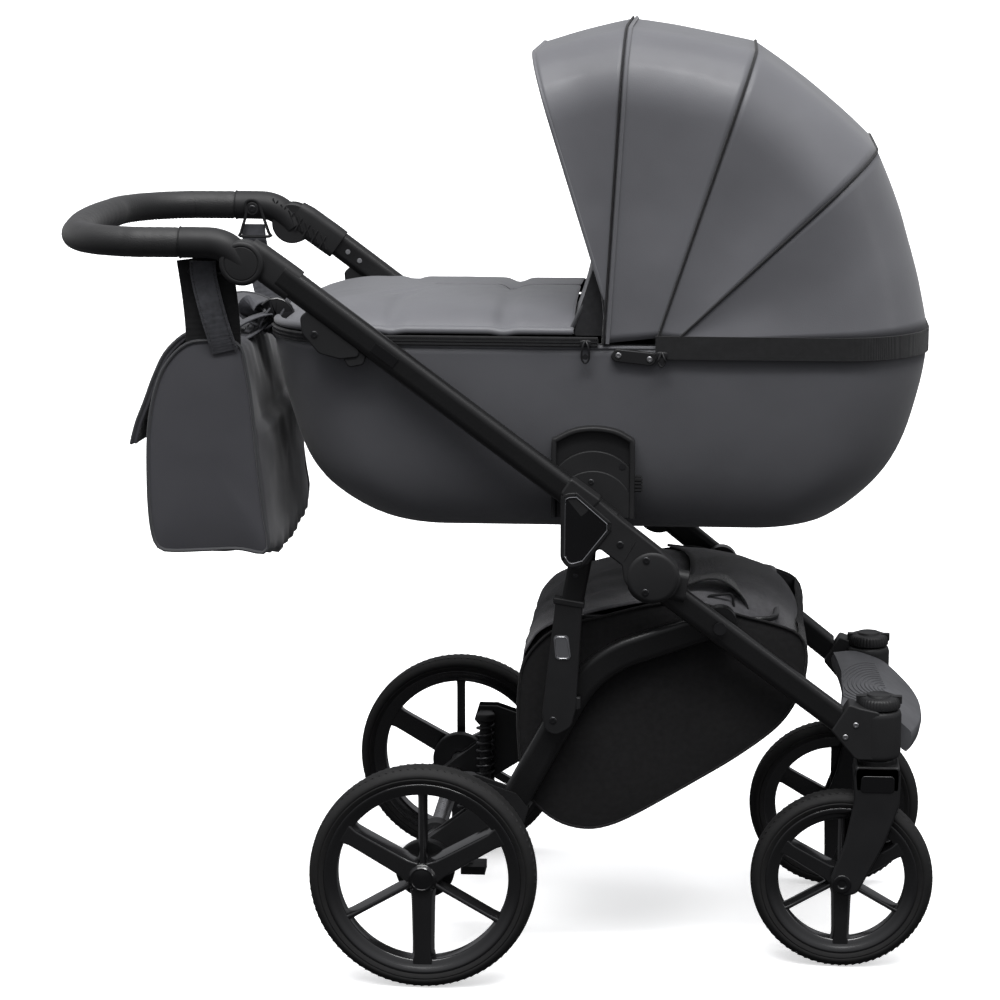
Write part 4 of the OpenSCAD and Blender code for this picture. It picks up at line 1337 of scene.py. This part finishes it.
build("bag_shoulder_strap", v, f, "strap", "changing_bag", angle=50)
buckle = sweep(curve([(-214, -96, 836), (-205, -96, 842), (-196, -96, 836), (-194, -96, 820)], 14),
               round_section(30, 9, 3.2, 4), up=(0, 1, 0))
build("bag_strap_buckle", *buckle, "gloss", "changing_bag", angle=50)

# ---- basket ----------------------------------------------------------------------------------

SIDE = [(119, 236), (126, 218), (142, 200), (165, 184), (193, 176), (222, 178), (262, 195),
        (345, 245), (399, 280), (447, 319), (472, 358), (481, 392), (481, 420), (470, 440),
        (440, 452), (400, 462), (360, 474), (330, 480), (280, 474), (220, 458), (160, 440),
        (122, 400), (113, 358), (112, 310), (115, 266)]
side_line = curve(SIDE, 110, closed=True)
mid = side_line.mean(0)
rows = []
for t in np.linspace(-1, 1, 35):
    y = 162 * t
    row = []
    for x, z in side_line:
        dx, dz = x - mid[0], z - mid[1]
        bulge = 1 - t ** 4
        drop = 8 * bulge if dz < -40 else 0
        fold = lump((x, y, z), 70, 5.0, 12.0) * bulge + lump((x, y, z), 26, 1.3, 2.0)
        o = unit(np.array([dx, dz]))
        hold = min(1, (1 - abs(t)) * 10)
        row.append([x + o[0] * fold * hold, y, z + o[1] * fold * hold - drop])
    rows.append(row)
keep_faces = []
v, f = skin(rows, around=True)
v = np.array(v)
m = len(side_line)
for face in f:
    c = v[face].mean(0)
    if 150 < c[0] < 476 and c[2] > 436 and abs(c[1]) < 160.5:
        continue  # the open top
    keep_faces.append(face)
parts = [(v, keep_faces)]
for s in (-1, 1):
    rings = []
    for q in (1.0, 0.985, 0.94, 0.85, 0.7, 0.5, 0.3, 0.12):
        ring = []
        for (x, z), p in zip(side_line, rows[0 if s < 0 else -1]):
            e = np.array([p[0], p[2]])
            xy = mid + (e - mid) * q
            crown = 5.0 * (1 - q ** 4) + lump((xy[0], 0, xy[1]), 70, 3.4, 4.0) * (1 - q ** 3) \
                + lump((xy[0] * 0.4, 0, xy[1]), 22, 0.9, 2.0) * (1 - q ** 3)
            ring.append([xy[0], s * (162 + crown), xy[1]])
        rings.append(ring)
    pv, pf = skin(rings, around=True)
    pf.append([(len(rings) - 1) * m + j for j in range(m)])
    parts.append((pv, pf))
v, f = join_lists(parts)
basket = build("basket_cloth", v, f, "cloth", None, angle=60)
c = Vector(((mid[0] + SHIFT) / 1000, 0, mid[1] / 1000))
if sum((p.center - c).dot(p.normal) for p in basket.data.polygons) < 0:
    basket.data.flip_normals()
basket = thicken(basket, 1.6, "cover")
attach(basket, "front_frame")
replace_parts(basket, "basket")

# rolled-back cover at the basket's rear top
rows = []
cover = curve([(113, 358), (116, 392), (128, 424), (150, 444), (190, 458), (235, 470), (285, 478),
               (330, 474)], 30)
for i, (x, z) in enumerate(cover):
    q = i / 29
    row = []
    for t in np.linspace(-1, 1, 31):
        y = (160 - 4 * q) * t
        g = (1 - t ** 4)
        fold = lump((x, y, z), 40, 7.0, 15.0) * g
        if q < 0.35:
            fold += 2.6 * math.sin(z / 4.6 + 1.5 * math.sin(y / 40)) * (0.35 - q) / 0.35
        row.append([x - fold * 0.6, y, z + fold * 0.7 + 5 * g * q])
    rows.append(row)
v, f = skin(rows)
cover_obj = build("basket_cover", v, f, "cover", None, angle=70)
if sum(p.normal.z for p in cover_obj.data.polygons) < 0:
    cover_obj.data.flip_normals()
cover_obj = thicken(cover_obj, 1.8)
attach(cover_obj, "front_frame")
# domed front part of the cover, held along the legs
edge = curve([(296, 482), (330, 477), (365, 462), (400, 435), (440, 404), (472, 378), (483, 350)],
             30)
crest = curve([(330, 486), (366, 491), (410, 489), (446, 472), (470, 441), (481, 400), (485, 350)],
              30)
rows = []
for (xe, ze), (xc, zc) in zip(edge, crest):
    row = []
    for t in np.linspace(-1, 1, 41):
        k = (1 - abs(t) ** 2.8) ** 0.8
        p = [xe + (xc - xe) * k, 163 * t, ze + (zc - ze) * k]
        p[2] += lump(p, 60, 4.0, 3.0) * k
        row.append(p)
    rows.append(row)
v, f = skin(rows)
wall_obj = build("basket_front_dome", v, f, "cover", None, angle=70)
if sum(p.normal.z for p in wall_obj.data.polygons) < 0:
    wall_obj.data.flip_normals()
wall_obj = thicken(wall_obj, 1.8)
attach(wall_obj, "front_frame")
v, f = both(sweep(outline3(edge, 163.5), disc_section(2.0, 8)))
build("basket_dome_binding", v, f, "web", "front_frame")
# strap with its buckle over the dome
strap_line = [(x, -118 + 3 * math.sin(i / 3), z) for i, (x, z) in enumerate(
    curve([(318, 494), (345, 500), (372, 502), (392, 488), (402, 462), (404, 440)], 26))]
v, f = sweep(strap_line, round_section(38, 2.6, 1.0, 3), up=(0.3, 0, 1))
build("basket_strap", v, f, "web", "front_frame", angle=50)
ring = fillet([(354, 482), (386, 486), (390, 452), (358, 448)], 5)
v, f = sweep(outline3(ring, -141), round_section(3.4, 3.4, 1.2, 3), closed=True, up=(0, 1, 0))
build("basket_strap_buckle", v, f, "teeth", "front_frame")
v, f = sweep(side_line[:, [0, 0, 1]] * [1, 0, 1] + [0, -163.5, 0], disc_section(1.7, 8),
             closed=True)
w, g = sweep(side_line[:, [0, 0, 1]] * [1, 0, 1] + [0, 163.5, 0], disc_section(1.7, 8),
             closed=True)
v, f = join_lists([(v, f), (w, g)])
build("basket_piping", v, f, "cloth", "front_frame")

# ---- handle grip -----------------------------------------------------------------------------

low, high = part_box("handle_grip")
grip_r = (high.z - low.z) * 500
bar_x = low.x * 1000 - SHIFT + grip_r + 5
bar_z = (high.z + low.z) * 500
tube_y = high.y * 1000 - grip_r
seam_x = high.x * 1000 - SHIFT
bend = 110
line = [(x, -tube_y) for x in np.linspace(seam_x, bar_x + bend, 16, endpoint=False)]
line += [(bar_x + bend + bend * math.cos(a), -tube_y + bend + bend * math.sin(a))
         for a in np.linspace(-math.pi / 2, -math.pi, 18, endpoint=False)]
line += [(bar_x, y) for y in np.linspace(-tube_y + bend, tube_y - bend, 40, endpoint=False)]
line += [(bar_x + bend + bend * math.cos(a), tube_y - bend + bend * math.sin(a))
         for a in np.linspace(math.pi, math.pi / 2, 18, endpoint=False)]
line += [(x, tube_y) for x in np.linspace(bar_x + bend, seam_x, 16)]
line = np.array(line)
line[:, 0] += np.where(np.abs(line[:, 1]) < tube_y - 1,
                       9 * np.minimum(1, np.abs(line[:, 1]) / (tube_y - bend)) ** 2, 0)
path = np.c_[line, np.full(len(line), bar_z)]
scale = np.array([1 + 0.006 * math.sin(i * 1.7) for i in range(len(path))])
scale[0] = scale[-1] = 0.93
scale[1] = scale[-2] = 0.985
v, f = sweep(path, disc_section(grip_r, 28), up=(0, 0, 1), scale=scale)
grip = build("handle_grip_leather", v, f, "grip", "handle", angle=60)
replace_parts(grip, "handle_grip")
v, f = sweep(path, disc_section(grip_r * 0.6, 16), up=(0, 0, 1))
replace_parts(build("handle_core", v, f, "steel", "handle", angle=60), "handle_tube")
t, u, b = frames(path, up=(0, 0, 1))
parts = []
for side_off in (-1.9, 1.9):
    # the grip's seam runs along its underside, towards the bar's inside
    a = math.radians(-60)
    n = b * math.cos(a) + u * math.sin(a)
    if np.dot(n[40], [1, 0, 0]) < 0:
        n = -b * math.cos(a) + u * math.sin(a)
    side_dir = np.cross(t, n)
    parts.append(stitches(path + n * (grip_r * 0.998) + side_dir * side_off, n, 3.4, 5.0, 0.55))
v, f = join_lists(parts)
build("handle_grip_stitches", v, f, "thread", "handle")

# ---- frame fittings --------------------------------------------------------------------------

# elbow bracket: triangle, neck and hub plate in one casting
BRACKET = [(186, 651), (247, 599), (297, 560), (316, 541), (322, 520), (313, 503), (297, 494),
           (279, 494), (261, 504), (250, 522), (247, 541), (218, 563), (205, 542), (192, 534),
           (177, 538), (170, 549), (170, 628)]
BRACKET_R = [6, 6, 14, 16, 18, 18, 18, 18, 18, 18, 5, 5, 10, 14, 14, 14, 10]
TRIANGLE = [(176, 628), (190, 629), (229, 595), (229, 586), (198, 546), (182, 541), (175, 552)]
for s, side_name in SIDES:
    piece("elbow_bracket_" + side_name + "_cast",
          [flat(BRACKET, s, 212, 235.5, BRACKET_R),
           flat([(183, 652), (170, 632), (196, 600), (222, 624)], s, 208, 236.5, 4)],
          "plastic_soft", "pusher", 2.6, 4, stands_for=["elbow_bracket_" + side_name])
rims, lines, insets, hubs, seams, screws = [], [], [], [], [], []
for s in (-1, 1):
    ring = curve(fillet(TRIANGLE, 6, 4), 90, closed=True)
    c = ring.mean(0)
    rims.append(sweep(outline3(c + (ring - c) * 1.05, s * 235.6), round_section(5.5, 3.4, 1.4, 4),
                      closed=True, up=(0, s, 0)))
    lines.append(sweep(outline3(c + (ring - c) * 0.98, s * 237.3), disc_section(0.75, 8),
                       closed=True))
    insets.append(plate(c + (ring - c) * 0.94, *sorted((s * 234, s * 236.4))))
    hubs.append(turned([(0.5, 0), (31.5, 0), (31.5, 2.2), (30, 3.6), (27, 4.2), (0.5, 4.6)],
                       (286, s * 234.5, 527), (0, s, 0), 56))
    seams.append(rod((264, 572), (250, 547), s * 235.4, disc_section(0.7, 6)))
    for x, z in ((245, 568), (278, 549), (277, 508)):
        screws.append(screw((x, s * (238.6 if x > 250 else 235.2), z), (0, s, 0), 4.4, 1.7))
piece("bracket_rim", rims, "plastic", "pusher")
piece("bracket_inlay", insets, "gloss", "pusher", 0.6, stands_for=["elbow_inlays"])
piece("bracket_trim_line", lines, "chrome", "pusher")
piece("hub_cover", hubs, "plastic_soft", "pusher", stands_for=["hub_caps"])
piece("bracket_seam", seams, "plastic", "pusher")
piece("bracket_screws", screws, "dark_steel", "pusher")
# collar of the front leg beside the hub
piece("front_leg_collars", [rod((287, 519), (329, 511), s * 215.5,
                                round_section(22, 40, 9, 5))
                            for s in (-1, 1)], "plastic_soft", "front_frame", 1.2)

# rear leg: inner tube, tapered sleeve, badge plate and screw
for s, side_name in SIDES:
    piece("rear_leg_" + side_name + "_tube",
          [rod((199, 566), (168, 405), s * 198, round_section(13, 29, 5, 5))],
          "metal", "rear_legs", stands_for=["rear_leg_" + side_name])
sleeves, tags, screws, tag_rims = [], [], [], []
for s in (-1, 1):
    sleeves.append(flat([(163, 489), (197, 484), (189, 345), (183, 322), (163, 310), (149, 318),
                         (146, 338)], s, 190.0, 206.5, [3, 3, 10, 14, 16, 12, 10]))
    sleeves.append(flat([(160, 492), (200, 486), (199, 478), (160, 484)], s, 189.0, 207.5, 1.5))
    sleeves.append(flat([(184, 362), (195, 361), (195, 346), (189, 344), (188, 352), (183, 352)],
                        s, 196, 205, 1.5))
    tags.append(flat([(160, 443), (179, 443), (183, 411), (163, 411)], s, 206.0, 207.4, 5))
    tag_rims.append(sweep(outline3(fillet([(162, 441), (177, 441), (181, 413), (165, 413)], 4),
                                   s * 207.5), disc_section(0.5, 6), closed=True))
    screws.append(screw((188, s * 204.2, 520), (0, s, 0), 3.4, 1.4))
    screws.append(screw((160, s * 206.2, 331), (0, s, 0), 4.6, 1.7))
piece("rear_leg_sleeves_cast", sleeves, "plastic", "rear_legs", 1.8, 3,
      stands_for=["rear_leg_sleeves"])
piece("sleeve_plates", tags, "grey_plastic", "rear_legs", 0.4)
piece("sleeve_plate_lines", tag_rims, "chrome", "rear_legs")
piece("rear_leg_screws", screws, "dark_steel", "rear_legs")

# handle elbows: sleeve and outer half on the handle, inner half and neck on the pusher
HINGE = (-227, 917)
sleeves, necks, webs = [], [], []
for s, side_name in SIDES:
    y = s * 222
    path = curve([(-306, y, 941), (-282, y, 941), (-262, y, 940), (-246, y, 934),
                  (-232, y, 922), (-224, y, 912)], 26)
    k = [1.0] * 16 + [1.0 - 0.012 * i for i in range(10)]
    sleeves.append(sweep(path, disc_section(19.4, 32), up=(0, 1, 0), scale=k))
    sleeves.append(turned([(0.5, 0), (28, 0), (28.5, 1.5), (28.5, 9.5), (27, 11), (0.5, 11)],
                          (HINGE[0], s * 222.5, HINGE[1]), (0, s, 0), 48))
    necks.append(turned([(0.5, 0), (26, 0), (27.5, 1.5), (27.5, 14), (0.5, 14)],
                        (HINGE[0], s * 207.8, HINGE[1]), (0, s, 0), 48))
    necks.append(rod((-222, 929.5), (-163, 887.5), s * 219, round_section(26, 43, 11, 6), n=10,
                     scale=[0.9, 0.95, 1, 1, 1, 1, 1, 1, 0.995, 0.98]))
    for q in range(7):
        a = np.array([-252 + 11 * q, 944 - 8.2 * q])
        webs.append(rod(a + [0, 8], a + [7, -13], s * 205.6, disc_section(1.1, 6)))
        webs.append(rod(a + [7, 5], a + [-3, -11], s * 205.6, disc_section(1.1, 6)))
    piece("handle_cap_" + side_name,
          [turned([(0.5, -3), (27.5, -3), (28, 0), (27.6, 2.4), (26, 4.2), (23, 5.2), (22, 5.0),
                   (21.4, 4.1), (20.8, 4.1), (20, 4.9), (14, 5.3), (0.5, 5.5)],
                  (HINGE[0], s * 234.0, HINGE[1]), (0, s, 0), 64)],
          "plastic_soft", "tilt_button_" + side_name, stands_for=["handle_button_" + side_name])
piece("handle_elbow_sleeves", sleeves, "plastic_soft", "handle",
      stands_for=["handle_sleeves", "handle_hinge_arms"])
piece("handle_elbow_necks", necks, "plastic_soft", "pusher", stands_for=["handle_hinge_bases"])
piece("handle_elbow_webs", webs, "plastic", "pusher")
# sleeve seams, and rivets on the pusher tubes' inner faces
piece("handle_sleeve_seams",
      [sweep([(-305, s * 222 + 19.6 * math.cos(a), 941 + 19.6 * math.sin(a))
              for a in np.linspace(0, 2 * math.pi, 40, endpoint=False)], disc_section(0.8, 6),
             closed=True) for s in (-1, 1)], "plastic", "handle")
rivets = []
for s in (-1, 1):
    for q in (38, 58):
        x, z = -180 + 0.801 * q, 901 - 0.599 * q
        rivets.append(turned([(2.6, 0), (3.4, 0), (3.4, 1), (2.6, 1.3), (1.6, 1.1), (0.4, 0.9)],
                             (x, s * 211.2, z), (0, -s, 0), 16))
piece("tube_rivets", rivets, "steel", "pusher")

# fold lever fins
FIN = [(-156, 850), (-141, 861), (-86, 818), (-80, 800), (-107, 797), (-133, 804), (-154, 829)]
for s, side_name in SIDES:
    piece("fold_lever_" + side_name + "_fin",
          [flat(FIN, s, 216, 228.5, [8, 3, 3, 6, 8, 14, 14]),
           flat([(-90, 812), (-72, 806), (-77, 790), (-96, 786), (-103, 799)], s, 217.5, 226.5,
                [3, 4, 5, 6, 4])], "plastic_soft", "lever_" + side_name, 1.8, 3,
          stands_for=["fold_lever_" + side_name])
    piece("fold_lever_" + side_name + "_screw",
          [screw((-138, s * 228.3, 828), (0, s, 0), 4.4, 1.6)],
          "dark_steel", "lever_" + side_name)

# carrycot fittings: D frame, recess, two stepped arcs
for_ring = [(160, 596), (160, 688), (164, 695), (185, 705.5), (210, 709), (236, 705.5),
            (254, 696), (258, 688), (258, 596)]
parts, plates, screws, arcs = [], [], [], []
for s in (-1, 1):
    ring = curve(for_ring, 60)
    parts.append(sweep(outline3(ring, s * 201), round_section(16, 6.5, 2.2, 4)))
    plates.append(flat([(160, 596), (160, 690), (185, 703), (210, 707), (236, 703), (258, 690),
                        (258, 596)], s, 172, 201.5, 3))
    arcs.append(flat([(163, 596)] + [(210 + 58 * math.cos(a), 623 + 58 * math.sin(a))
                                     for a in np.linspace(2.47, 0.68, 18)] + [(255, 596)],
                     s, 172, 206.0))
    arcs.append(flat([(166, 596)] + [(210 + 50 * math.cos(a), 606 + 50 * math.sin(a))
                                     for a in np.linspace(2.62, 0.45, 18)] + [(255, 596)],
                     s, 172, 208.4))
    screws.append(screw((207, s * 208.2, 642), (0, s, 0), 3.6, 1.2))
    screws.append(turned([(3, 0), (4.2, 0), (4.2, 0.8), (0.4, 0.8)], (246, s * 205.8, 662),
                         (0, s, 0), 20))
piece("cot_fitting_frames", parts, "plastic_soft", "carrycot", stands_for=["cot_connectors"])
piece("cot_fitting_recess", plates, "plastic", "carrycot")
piece("cot_fitting_arcs", arcs, "plastic_soft", "carrycot", 1.0)
piece("cot_fitting_screws", screws, "dark_steel", "carrycot")
for s, side_name in SIDES:
    ribs = [flat([(259, 629), (270, 629), (270, 649), (259, 649)], s, 196, 204, 1.2)]
    for z in (631, 635.4, 639.8, 644.2):
        ribs.append(flat([(260, z), (271.5, z), (271.5, z + 2.6), (260, z + 2.6)], s,
                         203, 206.4, 0.6))
    piece("cot_release_" + side_name, ribs, "plastic_soft", "release_" + side_name,
          stands_for=["cot_button_" + side_name])

# caster housings, lock knobs and forks
screws = []
for s, side_name in SIDES:
    y = s * 166
    shell = [turned([(0.5, 0), (26, 0), (29, 2.5), (30, 8), (30, 56), (28.5, 61), (26, 63.5),
                     (0.5, 64)], (574, y, 281), (0, 0, 1), 48),
             flat([(514, 321), (536, 356), (551, 351), (575, 346), (577, 283), (546, 283)],
                  s, 160, 194.5, [4, 4, 8, 4, 4, 12])]
    piece("front_housing_" + side_name + "_cast", shell, "plastic_soft", "front_frame", 3.2, 4,
          stands_for=["front_housing_" + side_name])
    screws += [screw((545, s * 194.2, 329), (0, s, 0), 3.6, 1.4),
               screw((532, s * 194.2, 313), (0, s, 0), 3.6, 1.4),
               turned([(2.6, 0), (4.2, 0), (4.2, 1), (2.6, 1.2)], (545, s * 160.2, 329),
                      (0, -s, 0), 20),
               turned([(2.6, 0), (4.2, 0), (4.2, 1), (2.6, 1.2)], (532, s * 160.2, 313),
                      (0, -s, 0), 20)]
    rows = []
    turn = np.linspace(0, 2 * math.pi, 144, endpoint=False)
    for z, r, wave in ((345.5, 25, 0), (347, 27, 0.2), (349, 27.5, 1), (357, 26.4, 1),
                       (359.5, 24.5, 0.6), (360.6, 22, 0), (360.9, 17, 0), (361.2, 16, 0),
                       (363.4, 14.8, 0), (363.8, 13.5, 0), (363.0, 12, 0), (362.8, 0.6, 0)):
        rr = r - wave * 0.9 * (0.5 + 0.5 * np.cos(36 * turn)) ** 3
        rows.append(np.stack([575 + rr * np.cos(turn), y + rr * np.sin(turn),
                              np.full(len(turn), z)], axis=1))
    parts = [skin(rows, around=True, caps=True)]
    for a in (0, math.pi):
        c = np.array([575 + 23 * math.cos(a), y + 23 * math.sin(a)])
        tab = [(c[0] + i * 6, c[1] + j * 5) for i, j in ((-1, -1), (1, -1), (1, 1), (-1, 1))]
        o = fillet(tab, 2)
        parts.append(skin([np.c_[o, np.full(len(o), z)] for z in (352, 361.5)], around=True,
                          caps=True))
    piece("swivel_knob_" + side_name + "_ribbed", parts, "plastic", "knob_" + side_name,
          stands_for=["swivel_knob_" + side_name])
    # fork: two blades under a crown
    blade = [(546, 274), (602, 274), (604, 262), (603, 222), (584, 168), (552, 104), (535, 99.5),
             (519, 108), (517, 124), (534, 170), (545, 226), (544, 262)]
    radii = [5, 5, 12, 40, 60, 14, 14, 14, 20, 60, 30, 10]
    parts = [flat(blade, 1, y + a, y + b, radii) for a, b in ((-27, -20), (20, 27))]
    crown = [(546, 274), (602, 274), (604, 262), (603.5, 240), (546, 240), (544, 262)]
    parts.append(flat(crown, 1, y - 27, y + 27, [4, 4, 8, 4, 4, 8]))
    parts.append(turned([(0.5, 0), (22, 0), (24, 3), (24, 13), (0.5, 13)], (574, y, 268),
                        (0, 0, 1), 40))
    piece("front_fork_" + side_name + "_cast", parts, "plastic", "caster_" + side_name, 3.0, 4,
          stands_for=["front_fork_" + side_name])
    lines = []
    for e in (-1, 1):
        lines.append(plate(fillet([(554, 262), (596, 262), (596, 240), (552, 240)], 5),
                           *sorted((y + e * 25, y + e * 28))))
        lines.append(turned([(0.5, 0), (12, 0), (12, 2), (10.5, 3), (6, 3), (5.4, 1.6), (0.5, 1.4)],
                            (532, y + e * 26.8, 117.5), (0, e, 0), 32))
    piece("fork_panels_" + side_name, lines, "gloss", "caster_" + side_name, 0.8)
piece("housing_screws", screws, "steel", "front_frame")


def tread_height(x, y):
    """Top of the footrest: level behind, then falling to the front edge."""
    front = 638 - 22 * (abs(y) / 150) ** 2
    q = max(0.0, (x - 556) / (front - 556))
    return 334 + 3 * min(1, (x - 524) / 20) - 34 * q ** 1.9 + 5 * (abs(y) / 150) ** 2


rows = []
for t in np.linspace(-1, 1, 45):
    y = 143 * t
    front = 638 - 22 * (abs(y) / 150) ** 2
    rear = 535 - 9 * abs(t) ** 2
    xs = rear + (front - rear) * (1 - np.cos(np.linspace(0, math.pi, 26))) / 2
    top = [[x, y, tread_height(x, y)] for x in xs]
    top[0][2] -= 3
    skirt = [[front + 1.0, y, 296], [front - 1, y, 286], [front - 6, y, 281],
             [front - 12, y, 285], [front - 16, y, 296]]
    under = [[x, y, tread_height(x, y) - 9] for x in xs[::-1] if x < front - 20]
    lip = [[rear - 1, y, tread_height(rear, y) - 20], [rear - 2.5, y, tread_height(rear, y) - 8]]
    n_under = 12
    u = evenly(np.array(under), n_under)
    rows.append(top + skirt + u.tolist() + lip)
v, f = skin(rows, around=True, caps=True)
rest = build("footrest_shell", v, f, "grey_plastic", "front_frame", angle=50)
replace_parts(rest, "footrest")
ridges = []
for r in range(10, 118, 9):
    line = []
    for a in np.linspace(0.55 * math.pi, 1.62 * math.pi, 60):
        x, y = 592 + r * math.cos(a) * 0.62, -22 + r * 1.25 * math.sin(a) * 0.9
        if 533 < x < 596 and abs(y) < 112:
            line.append([x, y, tread_height(x, y) + 0.2])
    if len(line) > 8:
        ridges.append(sweep(line, disc_section(1.1, 6), up=(0, 0, 1)))
piece("footrest_ridges", ridges, "grey_plastic", "front_frame")

# clips that carry the bag's straps on the handle sleeves
parts, screws = [], []
for s in (-1, 1):
    y = s * 200.5
    ring = curve([(-281, y, 950), (-272, y, 946), (-266, y, 930), (-258, y, 906), (-257, y, 900),
                  (-296, y, 900), (-296, y, 906), (-289, y, 930), (-289, y, 946)], 60, closed=True)
    parts.append(sweep(ring, round_section(4, 4.4, 1.4, 3), closed=True, up=(0, s, 0)))
    parts.append(turned([(0.5, -3), (9.5, -3), (10, 0), (8, 2), (0.5, 2)], (-280, y, 938),
                        (0, -s, 0), 28))
    screws.append(screw((-280, y - s * 2, 938), (0, -s, 0), 5, 1.6))
piece("strap_clips", parts, "plastic", "handle", stands_for=["bag_clips"])
piece("strap_clip_screws", screws, "dark_steel", "handle")

# ---- floor -----------------------------------------------------------------------------------

floor_mesh = bpy.data.meshes.new("floor")
floor_mesh.from_pydata([(-90, -20, 0), (90, -20, 0), (90, 160, 0), (-90, 160, 0)], [],
                       [[0, 1, 2, 3]])
floor = bpy.data.objects.new("floor", floor_mesh)
bpy.context.scene.collection.objects.link(floor)
pale = Shader("pale_floor", (0.97, 0.97, 0.97), 0.9, specular=0.1)
pale.set("Emission Color", (1, 1, 1, 1))
pale.set("Emission Strength", 0.55)
pale.vary(pale.noise(3, 3), 0.01)
floor_mesh.materials.append(pale.mat)
floor.visible_diffuse = False
floor.visible_glossy = False

bpy.context.view_layer.update()
